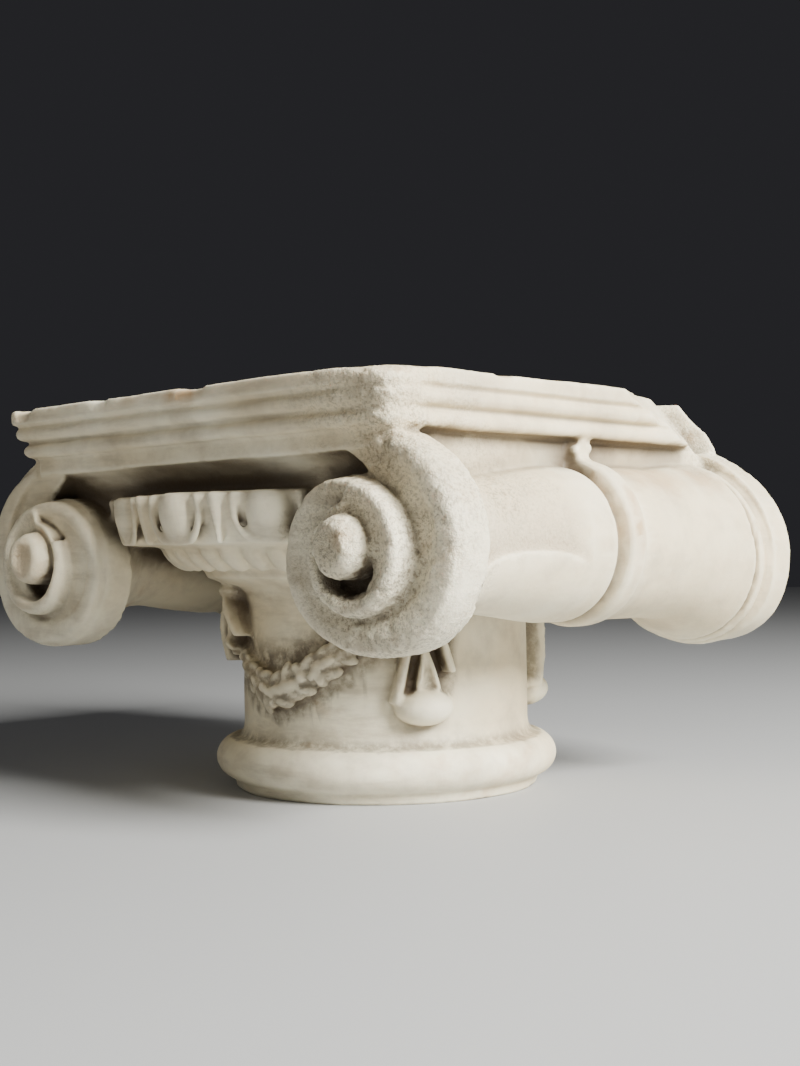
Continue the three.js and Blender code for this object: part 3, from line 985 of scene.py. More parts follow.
@dataclass(frozen=True)
class Garland:
    """Four tassels round the neck, with a swag of leaves and fruit between two of them on each face."""

    neck_radius: float = 58.5
    turn: float = 57.0
    count: int = 4
    relief: float = 11.5
    tassel_width: float = 22.0
    tassel_top: float = 84.0
    tassel_bottom: float = 29.0
    bulb: float = 7.4
    swag_left: float = 56.0
    swag_right: float = 78.0
    swag_low: float = 42.0
    swag_low_share: float = 0.34
    swag_thickness: float = 19.0
    swag_relief: float = 9.0
    swags: int = 2
    leaves: int = 16
    leaf: Point = (4.9, 2.2, 2.2)
    fruit: Point = (2.6, 2.6, 2.6)
    curve: float = 1.5
    ahead: float = 0.02
    broken: int = 3
    lost: float = 16.5
    seed: int = 11

    def swag_height(self, share: float) -> float:
        """Finds the height of the garland, lowest near its left end.

        Args:
            share: The share of its span, from its left end.

        Returns:
            The height there.
        """
        left = max(0.0, (self.swag_low_share - share) / self.swag_low_share)
        right = max(0.0, (share - self.swag_low_share) / (1 - self.swag_low_share))
        rise = (self.swag_left - self.swag_low) * left**self.curve
        return self.swag_low + rise + (self.swag_right - self.swag_low) * right**self.curve

    def on_neck(self, across: float, out: float, height: float) -> Vector:
        """Wraps a flat place, by its distance along the neck, onto the neck's -Y side."""
        angle = across / self.neck_radius
        radius = self.neck_radius + out
        return Vector((radius * math.sin(angle), -radius * math.cos(angle), height))

    def swag(self, dice: random.Random) -> Carving:
        """Makes one swag, a rope with leaves and fruit laid over it in three rows.

        Args:
            dice: What the places and sizes of the leaves are drawn from.

        Returns:
            The swag.
        """
        span = TURN / self.count * self.neck_radius - self.tassel_width * 0.5

        def rope(point: Vector) -> Vector:
            """Lays a point of a rod along the swag."""
            share = 1 - point.z
            fat = 0.55 + 0.45 * math.sin(math.pi * share)
            up = point.y * fat * self.swag_thickness * 0.42
            out = point.x * fat * self.swag_relief * 0.6 - 1
            return self.on_neck((share - 0.5) * span, out, self.swag_height(share) + up)

        whole = Carving().rod(14, 60).shaped(rope)
        for i in range(self.leaves):
            share = (i + 0.5) / self.leaves
            fat = 0.55 + 0.45 * math.sin(math.pi * share)
            rise = self.swag_height(share + self.ahead) - self.swag_height(share - self.ahead)
            slope = math.atan(rise / (2 * self.ahead * span))
            for row in (-1, 0, 1):
                here = clamp(share + dice.uniform(-0.012, 0.012) + abs(row) * 0.02)
                size = dice.uniform(0.85, 1.15) * fat
                up = row * self.swag_thickness * 0.27 * fat + dice.uniform(-0.5, 0.5)
                long, deep, wide = self.fruit if (i + row) % 4 == 0 else self.leaf
                lump = Carving().ball(12).scaled(long * size, deep * size, wide * size)
                spread = row * 0.6 + dice.uniform(-0.5, 0.5)
                lump.placed(Euler((0, -slope - spread, 0)).to_matrix().to_4x4())
                out = self.swag_relief * 0.5 * fat - abs(row) * 0.9
                place = self.on_neck((here - 0.5) * span, out, self.swag_height(here) + up)
                turn = math.degrees(math.atan2(place.x, -place.y))
                whole.with_(lump.rotated(turn, "Z").moved(*place))
        return whole

    def ribbon(self, start: Pair, end: Pair, width: float, depth: float) -> Carving:
        """Makes a tapering ribbon that stands out from the neck.

        Args:
            start: Its upper end, by distance along the neck and height.
            end: Its lower end.
            width: Its width at the lower end.
            depth: How far it stands out.

        Returns:
            The ribbon.
        """

        def place(point: Vector) -> Vector:
            """Lays a point of a rod along the ribbon."""
            share = point.z
            wide = width / 2 * lerp(0.55, 1.0, share)
            deep = depth * (0.75 + 0.25 * math.sin(math.pi * share))
            across = lerp(start[0], end[0], share**1.2) + point.x * wide
            return self.on_neck(across, point.y * deep - 1, lerp(start[1], end[1], share))

        return Carving().rod(12, 20).shaped(place)

    def tassel(self, lost: float = 0.0) -> Carving:
        """Makes a tassel: two tails spread over a third one and a round bulb.

        Args:
            lost: How much of its lower end is broken off, with the bulb.

        Returns:
            The tassel.
        """
        half = self.tassel_width / 2
        top = self.tassel_top
        low = self.tassel_bottom + 0.8 * lost
        bulb = Carving().ball(24).scaled(half * 1.06, self.relief * 0.98, self.bulb)
        bulb.moved(1, -self.neck_radius - 1, low + self.bulb)
        stem = self.ribbon((0, top - 8), (1, low + 12), 9, self.relief * 0.72)
        knot = Carving().ball(16).scaled(half * 0.7, self.relief * 0.9, 5.4)
        knot.moved(0, -self.neck_radius, top - 4)
        parts = [
            stem,
            self.ribbon((-1, top), (-half * 0.85, low + 9), 6.4, self.relief * 0.96),
            self.ribbon((1, top), (half * 0.98, low + 20), 5.6, self.relief * 0.98),
            self.ribbon((0, top - 22), (-half * 0.15, low + 14), 5.2, self.relief * 0.92),
            self.ribbon((0.5, top - 22), (half * 0.5, low + 14), 4.6, self.relief * 0.88),
            knot,
        ]
        return Carving().with_(*parts) if lost else bulb.with_(*parts)

    def build(self) -> Carving:
        """Returns the whole garland."""
        dice = random.Random(self.seed)
        whole = Carving()
        pitch = 360 / self.count
        for i in range(self.count):
            tassel = self.tassel(self.lost if i == self.broken else 0.0)
            whole.with_(tassel.rotated(self.turn + i * pitch, "Z"))
        for i in range(self.swags):
            whole.with_(self.swag(dice).rotated(self.turn - pitch / 2 + i * 360 / self.swags, "Z"))
        return whole


@dataclass(frozen=True)
class Wear:
    """A place where the surface is worn to open crystals, by its centre and reach in millimetres."""

    centre: Point
    reach: float
    depth: float = 1.0

    def at(self, points: np.ndarray) -> np.ndarray:
        """Returns how worn each point is, from 0 to the depth."""
        away = np.linalg.norm(points - np.array(self.centre), axis=1)
        return self.depth * np.clip(WEAR_EDGE - WEAR_EDGE * away / self.reach, 0, 1)


@dataclass(frozen=True)
class Chip:
    """A flake knocked off an edge, by its centre, size and depth in millimetres."""

    centre: Point
    reach: float
    depth: float


@dataclass(frozen=True)
class Stain:
    """A discoloured patch, by its centre, its reach along each axis in millimetres and its strength."""

    centre: Point
    reach: Point
    strength: float = 1.0

    def at(self, points: np.ndarray) -> np.ndarray:
        """Returns how strong the stain is at each point."""
        away = np.linalg.norm((points - np.array(self.centre)) / np.array(self.reach), axis=1)
        ragged = away + RAGGED * Speckle(5, 71, 2).at(points)
        return self.strength * np.clip(STAIN_EDGE - STAIN_EDGE * ragged, 0, 1)


@dataclass
class Weathering:
    """What time has done to the skin: uneven faces, open crystals, chips and soft edges."""

    wears: tuple[Wear, ...] = (
        Wear((96, -108, 92), 52),
        Wear((108, -106, 132), 34),
        Wear((112, -96, 112), 34, 0.9),
        Wear((112, -60, 118), 30, 0.45),
        Wear((88, 88, 148), 42, 0.6),
        Wear((-90, -108, 92), 30, 0.45),
        Wear((112, -110, 152), 60, 0.5),
    )
    chips: tuple[Chip, ...] = (
        Chip((-98, -111, 156), 7, 1.8),
        Chip((-46, -111, 156), 6, 1.4),
        Chip((12, -111, 156), 9, 1.3),
        Chip((110, -111, 156), 11, 2.2),
        Chip((111, -52, 156), 6, 1.2),
        Chip((-111, 40, 156), 9, 1.8),
        Chip((-60, 111, 156), 8, 1.6),
        Chip((-110, -111, 142), 6, 1.5),
    )
    stains: tuple[Stain, ...] = (
        Stain((3.5, -110, 153), (18, 9, 5), 1.0),
        Stain((110, -104, 155), (7, 8, 4), 0.9),
        Stain((-26, -110, 153.5), (7, 6, 3), 0.5),
        Stain((124, 1, 104), (12, 7.5, 20), 0.75),
        Stain((112, 30, 122), (16, 24, 10), 0.55),
        Stain((116, 64, 124), (16, 14, 10), 0.55),
        # This patch darkens the left eye: partly its brownish tone, partly painted shade from the near
        # volute.
        Stain((-90, -115, 93), (18, 9, 18), 0.5),
        Stain((-110, 20, 150), (8, 30, 5), 0.5),
        Stain((40, 110, 150), (26, 8, 5), 0.5),
    )
    swell: float = 0.36
    pits: float = 0.3
    crystals: float = 0.34
    worn_rounds: int = 14
    worn_share: float = 0.8
    ridge_rounds: int = 8
    rub: Wear = Wear((110, -110, 151), 25)
    rub_rounds: int = 70
    rub_share: float = 1.3
    echinus: Pair = (94, 120)
    echinus_half: float = 66.0
    echinus_rounds: int = 9
    nick_depth: float = 1.1
    flaked_wear: float = 0.45
    flake_side: float = 96.0
    flake_top: float = 130.0
    flake_depth: float = 1.9
    flake_level: float = 94.5
    flake_start: float = -88.0
    flake_end: float = -22.0

    def flaked(self, points: np.ndarray) -> np.ndarray:
        """Finds where the skin of the near bolster has flaked off, above its smooth lower half.

        Args:
            points: Rows of X, Y and Z in millimetres.

        Returns:
            How far it has at each, from 0 to 1.
        """
        x, y, z = points.T
        share = np.clip((y - self.flake_start) / (self.flake_end - self.flake_start), 0, 1)
        edge = self.flake_level - 18 * (1 - share) ** 5 - 6 * share**8
        step = np.clip((z - edge) / 0.9, 0, 1)
        fade = np.clip(1.1 - (z - edge) / 24, 0, 1)
        ends = np.clip((self.flake_end - y) / 10, 0, 1) * np.clip((y - self.flake_start + 4) / 6, 0, 1)
        return step * fade * ends * (x > self.flake_side) * (z < self.flake_top)

    def worn(self, points: np.ndarray) -> np.ndarray:
        """Returns how far the crystals are open at each point, from 0 to 1."""
        worn = np.max([wear.at(points) for wear in self.wears], axis=0)
        ragged = worn + RAGGED * Speckle(14, 21, 3).at(points) * (worn > 0)
        return np.clip(np.maximum(ragged, self.flaked_wear * self.flaked(points)), 0, 1)

    def weather(self, points: np.ndarray, normals: np.ndarray, ridge: np.ndarray) -> np.ndarray:
        """Moves the points of the skin.

        Args:
            points: Rows of X, Y and Z in millimetres.
            normals: The direction out of the stone at each.
            ridge: How far each stands out from its surroundings, in millimetres.

        Returns:
            The moved points.
        """
        worn = self.worn(points)
        swell = self.swell * Speckle(26, 5, 2).at(points)
        pits = self.pits * np.minimum(0, Speckle(3.6, 8, 2).at(points) + 0.1) * (0.35 + worn)
        crystals = self.crystals * worn * Speckle(1.9, 13, 2).at(points)
        broken = np.maximum(0, Speckle(8, 31, 3).at(points) - RAGGED)
        nicks = np.clip(ridge / 0.5, 0, 1) * broken * self.nick_depth
        shift = swell + pits + crystals - nicks - self.flake_depth * self.flaked(points)
        moved = points + normals * shift[:, None]
        for number, chip in enumerate(self.chips):
            away = np.linalg.norm(moved - np.array(chip.centre), axis=1)
            ragged = chip.reach * (1 + 0.3 * Speckle(4, 50 + number, 2).at(moved))
            share = np.clip(1 - away / ragged, 0, 1)
            inwards = np.array([-np.sign(chip.centre[0]) * 0.3, -np.sign(chip.centre[1]) * 0.4, -0.85])
            moved = moved + inwards * (chip.depth * np.sqrt(share))[:, None]
        return moved


def points_of(data: bpy.types.Mesh) -> np.ndarray:
    """Returns the points of a mesh as rows."""
    flat = np.empty(len(data.vertices) * 3)
    data.vertices.foreach_get("co", flat)
    return flat.reshape(-1, 3)


def normals_of(data: bpy.types.Mesh) -> np.ndarray:
    """Returns the directions out of a mesh at its points, as rows."""
    flat = np.empty(len(data.vertices) * 3)
    data.vertices.foreach_get("normal", flat)
    return flat.reshape(-1, 3)


def smoothed(data: bpy.types.Mesh, points: np.ndarray, rounds: int) -> np.ndarray:
    """Evens out values given at the points of a mesh.

    Args:
        data: The mesh, for its edges.
        points: Rows of values.
        rounds: How many times each row is drawn to its neighbours.

    Returns:
        The evened rows.
    """
    ends = np.empty(len(data.edges) * 2, dtype=np.int64)
    data.edges.foreach_get("vertices", ends)
    first, second = ends.reshape(-1, 2).T
    size = len(points)
    counts = np.bincount(first, minlength=size) + np.bincount(second, minlength=size)
    counts = np.maximum(counts, 1)[:, None]
    result = points.copy()
    for _ in range(rounds):
        sums = np.empty_like(result)
        for axis, column in enumerate(result.T):
            onto_first = np.bincount(first, column[second], size)
            sums[:, axis] = onto_first + np.bincount(second, column[first], size)
        result = 0.4 * result + 0.6 * sums / counts
    return result


@dataclass(frozen=True)
class SoilAndShade:
    """Dirt and painted shade on the neck: darker above and between the leaves, beside the tassels and in
    the joint below; the hollow over the swag and the gaps beside the tassels are shadow, painted in here.
    """

    garland: Garland
    rise: float = 11.0
    spread: float = 6.5
    leaf_reach: float = 13.0
    leaf_share: float = 0.75
    fade: float = 0.06
    tassel_place: float = 0.53
    tassel_reach: float = 0.13
    tassel_share: float = 0.65
    tassel_end: float = 40.0
    low: float = 24.0
    high: float = 86.0
    joint: float = 21.5
    joint_spread: float = 2.6
    joint_share: float = 0.75
    samples: int = 41

    def at(self, points: np.ndarray) -> np.ndarray:
        """Finds how strongly the neck is darkened by dirt and painted shade.

        Args:
            points: Rows of X, Y and Z in millimetres.

        Returns:
            How strong the darkening is at each, from 0 to 1.
        """
        garland = self.garland
        x, y, z = points.T
        out = np.hypot(x, y) - garland.neck_radius
        angle = np.arctan2(x, -y) - math.radians(garland.turn - 180 / garland.count)
        share = ((angle / (TURN / garland.swags) + 0.5) % 1 - 0.5) * garland.count / garland.swags + 0.5
        shares = np.linspace(0, 1, self.samples)
        level = np.interp(share, shares, [garland.swag_height(value) for value in shares])
        # Painted shadow of the hollow above the swag, with some dirt.
        above = np.exp(-(((z - level - self.rise) / self.spread) ** 2)) * (out < 2)
        leaves = self.leaf_share * (np.abs(z - level) < self.leaf_reach) * (out < 5.5)
        inside = np.clip((0.5 - np.abs(share - 0.5)) / self.fade, 0, 1)
        # Painted shadow in the gaps beside the tassels.
        beside = np.abs(np.abs(share - 0.5) - self.tassel_place) < self.tassel_reach
        tassels = self.tassel_share * beside * (out < 6) * (z > self.tassel_end)
        darkened = np.maximum(np.maximum(above, leaves) * inside, tassels) * (z < self.high) * (z > self.low)
        joint = self.joint_share * np.exp(-(((z - self.joint) / self.joint_spread) ** 2)) * (out < 6)
        return np.maximum(darkened, joint)


@dataclass
class Capital:
    """The whole stone: carved, joined, weathered and dressed."""

    detail: Detail
    levels: Levels = field(default_factory=Levels)
    weathering: Weathering = field(default_factory=Weathering)
    garland: Garland = field(default_factory=Garland)
    far_lean: float = 2.6
    sight: float = 60.0
    close: float = 9.0
    lift: float = 0.25
    cone: float = 0.9
    drops: dict[Side, float] = field(default_factory=lambda: {
        Side.NEAR_RIGHT: 0.5,
        Side.NEAR_LEFT: 3.0,
        Side.FAR_RIGHT: 5.0,
        Side.FAR_LEFT: 2.5,
    })

    def carve(self) -> Carving:
        """Returns every form of the stone, still overlapping."""
        whole = Slab(self.levels).build()
        LOG.info("slab: %d faces", len(whole.mesh.faces))
        whole.with_(Core(self.levels).build())
        whole.with_(EggAndDart(self.levels).build())
        for side, drop in self.drops.items():
            lean = self.far_lean if side is Side.FAR_RIGHT else 0.0
            whole.with_(Volute(self.levels, side, drop, lean).build())
        for sign, lean in ((1, self.far_lean), (-1, 0.0)):
            whole.with_(Bolster(self.levels, sign, lean=lean).build())
        whole.with_(self.garland.build())
        LOG.info("carved forms: %d faces", len(whole.mesh.faces))
        return whole

    def skin(self, whole: Carving) -> bpy.types.Mesh:
        """Joins the forms into one skin.

        Args:
            whole: Every form, still overlapping.

        Returns:
            The mesh of the skin.
        """
        rough = whole.to_object("rough")
        remesh = rough.modifiers.new("skin", "REMESH")
        remesh.mode = "VOXEL"
        remesh.voxel_size = self.detail.voxel
        data = baked(rough)
        discard(rough)
        LOG.info("skin: %d points", len(data.vertices))
        return data

    def weather(self, data: bpy.types.Mesh) -> None:
        """Evens the skin, wears it and writes it back.

        Args:
            data: The mesh of the skin.
        """
        how = self.weathering
        points = smoothed(data, points_of(data), 1)
        worn = how.worn(points)
        points = self.softened(data, points, how.worn_rounds, np.clip(worn * how.worn_share, 0, 1))
        x, y, z = points.T
        low, high = how.echinus
        below = (z < high) * (np.hypot(x, y) < high) * (np.abs(x) < how.echinus_half)
        points = self.softened(data, points, how.echinus_rounds, np.clip((z - low) / 4, 0, 1) * below)
        rubbed = how.rub.at(points)
        points = self.softened(data, points, how.rub_rounds, np.clip(rubbed * how.rub_share, 0, 1))
        data.vertices.foreach_set("co", points.ravel())
        data.update()
        normals = normals_of(data)
        ridge = np.sum((points - smoothed(data, points, how.ridge_rounds)) * normals, axis=1)
        moved = how.weather(points, normals, ridge)
        data.vertices.foreach_set("co", moved.ravel())
        self.clip(data)

    @staticmethod
    def softened(data: bpy.types.Mesh, points: np.ndarray, rounds: int, share: np.ndarray) -> np.ndarray:
        """Evens the skin in some places only.

        Args:
            data: The mesh, for its edges.
            points: Rows of X, Y and Z.
            rounds: How soft it becomes.
            share: How much of that each point gets.

        Returns:
            The evened points.
        """
        return points + (smoothed(data, points, rounds) - points) * share[:, None]

    def clip(self, data: bpy.types.Mesh) -> None:
        """Keeps every point inside the box of the solid."""
        low = np.array(CAD_BOX[0]) / MILLIMETRE
        high = np.array(CAD_BOX[1]) / MILLIMETRE
        data.vertices.foreach_set("co", np.clip(points_of(data), low, high).ravel())
        data.update()

    def thin(self, data: bpy.types.Mesh) -> bpy.types.Mesh:
        """Draws the skin with fewer triangles.

        Args:
            data: The mesh of the skin.

        Returns:
            The mesh of the lighter skin.
        """
        stone = linked("thick", data)
        fewer = stone.modifiers.new("thin", "DECIMATE")
        fewer.ratio = min(1.0, self.detail.triangles / (2 * len(data.polygons)))
        result = baked(stone)
        discard(stone)
        return result

    def mark(self, data: bpy.types.Mesh) -> None:
        """Stores how worn, enclosed and exposed each point is, for the finish; the enclosed places get dirt
        and painted shade.

        Args:
            data: The mesh of the skin.
        """
        points = points_of(data)
        normals = normals_of(data)
        ridge = np.sum((points - smoothed(data, points, 5)) * normals, axis=1)
        tree = BVHTree.FromPolygons(
            [Vector(row) for row in points],
            [tuple(face.vertices) for face in data.polygons],
        )
        near, far = self.occlusion(tree, points, normals)
        values = {
            "worn": self.weathering.worn(points),
            "flaked": self.weathering.flaked(points),
            "ridge": np.clip(ridge / 0.6, -1, 1) * 0.5 + 0.5,
            # The crevice, soil and occlusion columns drive dirt and painted shade in the finish.
            "crevice": smoothed(data, near[:, None], 1)[:, 0],
            "soil_and_shade": SoilAndShade(self.garland).at(points),
            "stain": np.max([stain.at(points) for stain in self.weathering.stains], axis=0),
            "occlusion": smoothed(data, far[:, None], 2)[:, 0],
        }
        for name, column in values.items():
            layer = data.attributes.new(name, "FLOAT", "POINT")
            layer.data.foreach_set("value", column.astype(np.float32))

    def occlusion(self, tree: BVHTree, points: np.ndarray, normals: np.ndarray) -> Columns:
        """Looks from each point for stone nearby, for the dirt and painted shade of the hollows.

        Args:
            tree: The skin, for the rays.
            points: Rows of X, Y and Z in millimetres.
            normals: The direction out of the stone at each.

        Returns:
            The share of rays that meet stone within a few millimetres, and within a hand's width.
        """
        count = self.detail.rays
        golden = math.pi * (3 - math.sqrt(5))
        spread = []
        for i in range(count):
            level = 1 - (i + 0.5) / count * self.cone
            ring = math.sqrt(1 - level * level)
            spread.append((ring * math.cos(golden * i), ring * math.sin(golden * i), level))
        near = np.zeros(len(points))
        far = np.zeros(len(points))
        start = points + normals * self.lift
        helper = np.where(np.abs(normals[:, 2:3]) < 0.9, [[0.0, 0.0, 1.0]], [[1.0, 0.0, 0.0]])
        side = np.cross(helper, normals)
        side /= np.maximum(np.linalg.norm(side, axis=1, keepdims=True), 1e-9)
        up = np.cross(normals, side)
        cast = tree.ray_cast
        for x, y, z in spread:
            heading = side * x + up * y + normals * z
            for index in range(len(points)):
                away = cast(start[index], heading[index], self.sight)[3]
                if away is not None:
                    near[index] += away < self.close
                    far[index] += 1 - away / self.sight
        return near / count, far / count

    def build(self, finish: "Marble") -> bpy.types.Object:
        """Builds the stone, in metres and dressed.

        Args:
            finish: What it is dressed in.

        Returns:
            The stone.
        """
        data = self.skin(self.carve())
        self.weather(data)
        data = self.thin(data)
        self.clip(data)
        self.mark(data)
        data.transform(Matrix.Scale(MILLIMETRE, 4))
        data.name = PIECE
        data.shade_smooth()
        data.materials.clear()
        data.materials.append(finish.build())
        stone = linked(PIECE, data)
        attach(stone, "root")
        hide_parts("capital")
        LOG.info("%s: %d triangles", PIECE, sum(len(face.vertices) - 2 for face in data.polygons))
        return stone


@dataclass(frozen=True)
class Grain:
    """A pattern in the stone: how many features a metre holds, its finer layers and the range used."""

    scale: float
    detail: float
    rough: float
    low: float
    high: float
    start: float = 0.0
    end: float = 1.0


class Tree:
    """A short hand for adding and joining nodes."""

    def __init__(self, tree: bpy.types.NodeTree) -> None:
        """Keeps the node tree that is added to."""
        self.tree = tree

    def add(self, kind: str, **settings: object) -> bpy.types.Node:
        """Adds a node.

        Args:
            kind: Its type.
            settings: Properties of the node by name.

        Returns:
            The node.
        """
        node = self.tree.nodes.new(kind)
        for name, value in settings.items():
            setattr(node, name, value)
        return node

    def join(self, start: Socket, end: Socket) -> None:
        """Links an output to an input."""
        self.tree.links.new(start, end)

    def set(self, socket: Socket, value: object) -> None:
        """Links a socket, or writes a plain value to it."""
        if isinstance(value, Socket):
            self.join(value, socket)
        else:
            socket.default_value = value

    def maths(self, operation: str, first: object, second: object = 0.0, clamped: bool = False) -> Socket:
        """Adds a Math node.

        Args:
            operation: What it does.
            first: A socket or number.
            second: A socket or number.
            clamped: Whether the result is held between 0 and 1.

        Returns:
            Its result.
        """
        node = self.add("ShaderNodeMath", operation=operation, use_clamp=clamped)
        self.set(node.inputs[0], first)
        self.set(node.inputs[1], second)
        return node.outputs[0]

    def span(self, value: Socket, low: float, high: float, start: float = 0.0, end: float = 1.0) -> Socket:
        """Maps a range of values smoothly to another.

        Args:
            value: The socket that is mapped.
            low: Where the range starts.
            high: Where it ends.
            start: What its start becomes.
            end: What its end becomes.

        Returns:
            The mapped value.
        """
        node = self.add("ShaderNodeMapRange", interpolation_type="SMOOTHSTEP")
        self.set(node.inputs[0], value)
        for index, number in enumerate((low, high, start, end), start=1):
            node.inputs[index].default_value = number
        return node.outputs[0]

    def mix(self, share: object, first: object, second: object) -> Socket:
        """Mixes two colours.

        Args:
            share: How much of the second shows.
            first: A socket or colour.
            second: A socket or colour.

        Returns:
            The mixed colour.
        """
        node = self.add("ShaderNodeMix", data_type="RGBA")
        self.set(node.inputs[0], share)
        self.set(node.inputs[6], first)
        self.set(node.inputs[7], second)
        return node.outputs[2]

    def noise(self, place: Socket, scale: float, detail: float, rough: float) -> Socket:
        """Adds a noise texture.

        Args:
            place: Where it is read.
            scale: How many features a metre holds.
            detail: How many finer layers it has.
            rough: How strong they are.

        Returns:
            Its value.
        """
        node = self.add("ShaderNodeTexNoise")
        self.join(place, node.inputs["Vector"])
        node.inputs["Scale"].default_value = scale
        node.inputs["Detail"].default_value = detail
        node.inputs["Roughness"].default_value = rough
        return node.outputs[0]

    def pattern(self, place: Socket, grain: Grain) -> Socket:
        """Adds a pattern of the stone and returns its value."""
        value = self.noise(place, grain.scale, grain.detail, grain.rough)
        return self.span(value, grain.low, grain.high, grain.start, grain.end)

    def mark(self, name: str) -> Socket:
        """Reads a value stored on the mesh."""
        return self.add("ShaderNodeAttribute", attribute_name=name).outputs["Fac"]


@dataclass(frozen=True)
class Marble:
    """Weathered cream-white marble: smooth in places, sugary where it is worn, with dirt and painted shade
    in its hollows and painted shade on its front and left faces.
    """

    name: str = "weathered_marble"
    cream: Colour = (0.78, 0.67, 0.45, 1)
    white: Colour = (0.94, 0.88, 0.68, 1)
    grey: Colour = (0.43, 0.36, 0.255, 1)
    flake: Colour = (0.52, 0.43, 0.30, 1)
    crystal: Colour = (0.26, 0.215, 0.15, 1)
    # Dark earth brown, for dirt and for the painted shade of hollows.
    earth_and_shade: Colour = (0.07, 0.045, 0.025, 1)
    rust: Colour = (0.46, 0.27, 0.11, 1)
    broad: Grain = Grain(11, 3, 0.55, 0.35, 0.65)
    clouds: Grain = Grain(38, 6, 0.62, 0.4, 0.75)
    cloud_share: float = 0.6
    streaks: Grain = Grain(75, 5, 0.65, 0.42, 0.72)
    streak_stretch: Point = (0.35, 0.35, 1.7)
    specks: Grain = Grain(760, 3, 0.75, 0.47, 0.62)
    speck_share: float = 0.7
    patches: Grain = Grain(120, 5, 0.65, 0.2, 0.75, 0.5, 1.0)
    dirt_and_shade_share: float = 0.85
    deep_shade_share: float = 0.92
    clods: Grain = Grain(210, 4, 0.7, 0.3, 0.62, 0.25, 0.85)
    spots: Grain = Grain(24, 4, 0.6, 0.62, 0.74)
    spot_share: float = 0.4
    stain_share: float = 0.75
    flake_share: float = 0.85

    def build(self) -> bpy.types.Material:
        """Returns the material."""
        material = bpy.data.materials.new(self.name)
        material.use_nodes = True
        tree = Tree(material.node_tree)
        shader = material.node_tree.nodes["Principled BSDF"]
        place = tree.add("ShaderNodeTexCoord").outputs["Object"]
        worn = tree.mark("worn")
        tree.join(self.colour(tree, place, worn), shader.inputs["Base Color"])

        grains = tree.noise(place, 950, 3, 0.7)
        rough = tree.span(grains, 0.3, 0.7, 0.5, 0.72)
        rough = tree.maths("ADD", rough, tree.maths("MULTIPLY", worn, 0.15), True)
        tree.join(rough, shader.inputs["Roughness"])
        height = tree.maths("MULTIPLY", grains, tree.maths("ADD", tree.maths("MULTIPLY", worn, 2.6), 0.12))
        height = tree.maths("ADD", height, tree.maths("MULTIPLY", tree.noise(place, 260, 4, 0.6), 0.35))
        bump = tree.add("ShaderNodeBump")
        bump.inputs["Strength"].default_value = 0.55
        bump.inputs["Distance"].default_value = 0.0009
        tree.join(height, bump.inputs["Height"])
        tree.join(bump.outputs[0], shader.inputs["Normal"])
        shader.inputs["Specular IOR Level"].default_value = 0.35
        shader.inputs["Subsurface Weight"].default_value = 0.12
        shader.inputs["Subsurface Radius"].default_value = (0.0045, 0.003, 0.002)
        shader.inputs["Subsurface Scale"].default_value = 1.0
        return material

    def shaded_sides(self, tree: Tree) -> Socket:
        """Returns painted shade by the way the skin faces: more on the front and the left, the faces turned
        away from the key light.
        """
        facing = tree.add("ShaderNodeSeparateXYZ")
        tree.join(tree.add("ShaderNodeNewGeometry").outputs["Normal"], facing.inputs[0])
        front = tree.maths("MULTIPLY", facing.outputs[1], -1.0)
        left = tree.maths("MULTIPLY", facing.outputs[0], -1.0)
        return tree.span(tree.maths("MAXIMUM", front, left), 0.35, 0.95, 0.12, 0.6)

    def colour(self, tree: Tree, place: Socket, worn: Socket) -> Socket:
        """Adds the nodes for the colour of the stone, painted shade included.

        Args:
            tree: The tree of the material.
            place: Where on the stone.
            worn: How far the crystals are open there.

        Returns:
            The colour.
        """
        colour = tree.mix(tree.pattern(place, self.broad), self.cream, self.white)
        clouds = tree.maths("MULTIPLY", tree.pattern(place, self.clouds), self.cloud_share)
        colour = tree.mix(clouds, colour, self.grey)
        stretched = tree.add("ShaderNodeMapping")
        tree.join(place, stretched.inputs["Vector"])
        stretched.inputs["Scale"].default_value = self.streak_stretch
        streaks = tree.pattern(stretched.outputs[0], self.streaks)
        # Grey streaks shown only where the skin faces front or left: painted shade on the sides away from
        # the key light.
        colour = tree.mix(tree.maths("MULTIPLY", streaks, self.shaded_sides(tree)), colour, self.grey)
        colour = tree.mix(tree.maths("MULTIPLY", tree.mark("flaked"), self.flake_share), colour, self.flake)
        specks = tree.pattern(place, self.specks)
        specks = tree.maths("MULTIPLY", specks, tree.maths("MULTIPLY", worn, self.speck_share), True)
        colour = tree.mix(specks, colour, self.crystal)
        # Dirt and painted shade: hollows met by rays within a few millimetres, in patches, and places
        # enclosed within a hand's width, such as the channel under the slab and the volute grooves, darken
        # to earth colour; much of this is shade painted in, with real dirt in the garland's hollows.
        patchy = tree.maths("MULTIPLY", tree.pattern(place, self.patches), self.dirt_and_shade_share)
        dirt_and_shade = tree.maths("MULTIPLY", tree.span(tree.mark("crevice"), 0.25, 0.75), patchy)
        deep = tree.maths("MULTIPLY", tree.span(tree.mark("occlusion"), 0.26, 0.58), self.deep_shade_share)
        colour = tree.mix(tree.maths("MAXIMUM", dirt_and_shade, deep), colour, self.earth_and_shade)
        # Dirt and painted shade on the neck, in clods, mixed to earth colour.
        soil_and_shade = tree.maths("MULTIPLY", tree.mark("soil_and_shade"), tree.pattern(place, self.clods))
        colour = tree.mix(soil_and_shade, colour, self.earth_and_shade)
        rust = tree.maths("MULTIPLY", tree.pattern(place, self.spots), self.spot_share)
        rust = tree.maths("MAXIMUM", rust, tree.maths("MULTIPLY", tree.mark("stain"), self.stain_share))
        colour = tree.mix(rust, colour, self.rust)
        return tree.mix(tree.span(tree.mark("ridge"), 0.55, 0.85, 0.0, 0.35), colour, self.white)


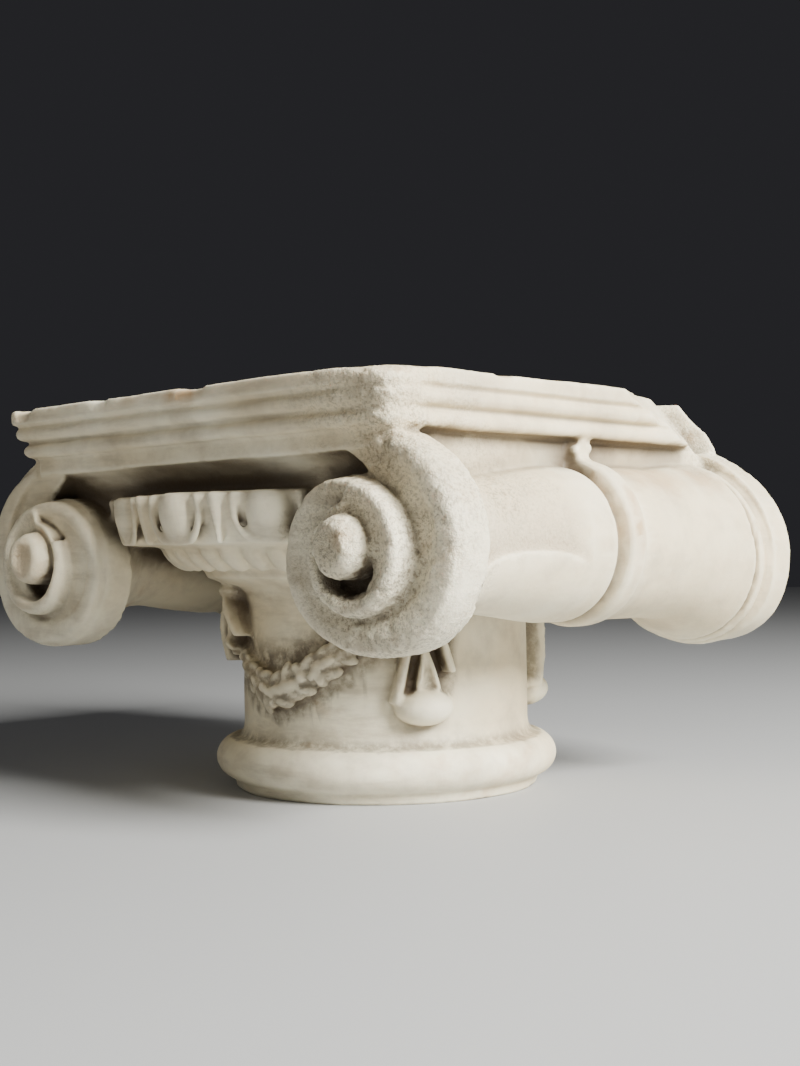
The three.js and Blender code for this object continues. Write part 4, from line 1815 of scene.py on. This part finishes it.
@dataclass(frozen=True)
class Lamp:
    """A soft square light aimed at the middle of the stone, by its place, size and power."""

    name: str
    place: Point
    size: float
    power: float
    colour: Point = (1.0, 1.0, 1.0)
    target: Point = (0.0, 0.0, 0.08)

    def build(self) -> None:
        """Adds the light."""
        data = bpy.data.lights.new(self.name, "AREA")
        data.shape = "SQUARE"
        data.size = self.size
        data.energy = self.power
        data.color = self.colour
        thing = linked(self.name, data)
        thing.location = self.place
        aim = Vector(self.target) - Vector(self.place)
        thing.rotation_euler = aim.to_track_quat("-Z", "Y").to_euler()


@dataclass(frozen=True)
class Studio:
    """The pale floor, the soft lights and the camera at the photograph's angle."""

    camera_place: Point = (0.43153, -0.44, 0.09471)
    yaw: float = 43.82
    pitch: float = 0.74
    roll: float = -0.81
    focal_pixels: float = 1480.0
    image_height: float = 1066.0
    sensor: float = 36.0
    clip_start: float = 0.01
    floor_radius: float = 3.0
    floor_colour: Colour = (0.42, 0.43, 0.44, 1)
    floor_roughness: float = 0.6
    backdrop: Colour = (0.022, 0.022, 0.025, 1)
    lamps: tuple[Lamp, ...] = (
        Lamp("key", (1.07, 0.0, 0.72), 0.5, 58.0, (1.0, 0.98, 0.93)),
        Lamp("fill", (-0.35, -1.1, 0.75), 1.2, 2.3, (1.0, 0.97, 0.91)),
        Lamp("back", (-0.6, 0.9, 0.9), 0.9, 0.6),
    )

    def camera(self) -> None:
        """Adds the camera."""
        data = bpy.data.cameras.new("camera")
        data.sensor_fit = "VERTICAL"
        data.sensor_height = self.sensor
        data.lens = self.focal_pixels / self.image_height * self.sensor
        data.clip_start = self.clip_start
        yaw = math.radians(self.yaw)
        pitch = math.radians(self.pitch)
        roll = math.radians(self.roll)
        ahead = Vector((-math.sin(yaw) * math.cos(pitch), math.cos(yaw) * math.cos(pitch), math.sin(pitch)))
        right = Vector((math.cos(yaw), math.sin(yaw), 0))
        up = right.cross(ahead)
        across = right * math.cos(roll) + up * math.sin(roll)
        above = up * math.cos(roll) - right * math.sin(roll)
        basis = Matrix((across, above, -ahead)).transposed().to_4x4()
        thing = linked("camera", data)
        thing.matrix_world = Matrix.Translation(self.camera_place) @ basis
        bpy.context.scene.camera = thing

    def floor(self) -> None:
        """Adds the floor."""
        mesh = bmesh.new()
        bmesh.ops.create_circle(mesh, cap_ends=True, radius=self.floor_radius, segments=96)
        data = bpy.data.meshes.new("floor")
        mesh.to_mesh(data)
        mesh.free()
        material = bpy.data.materials.new("floor")
        material.use_nodes = True
        shader = material.node_tree.nodes["Principled BSDF"]
        shader.inputs["Base Color"].default_value = self.floor_colour
        shader.inputs["Roughness"].default_value = self.floor_roughness
        data.materials.append(material)
        linked("floor", data)

    def lights(self) -> None:
        """Adds the lights and the plain backdrop."""
        for lamp in self.lamps:
            lamp.build()
        world = bpy.data.worlds.new("studio")
        world.use_nodes = True
        world.node_tree.nodes["Background"].inputs["Color"].default_value = self.backdrop
        bpy.context.scene.world = world

    def build(self) -> None:
        """Adds everything round the stone."""
        self.camera()
        self.floor()
        self.lights()


def main() -> None:
    """Builds the studio and the stone."""
    logging.basicConfig(level=logging.INFO, format="%(name)s %(message)s")
    Studio().build()
    LOG.info("studio ready")
    detail = Detail.FULL
    Capital(detail).build(Marble())


if __name__ == "__main__":
    main()
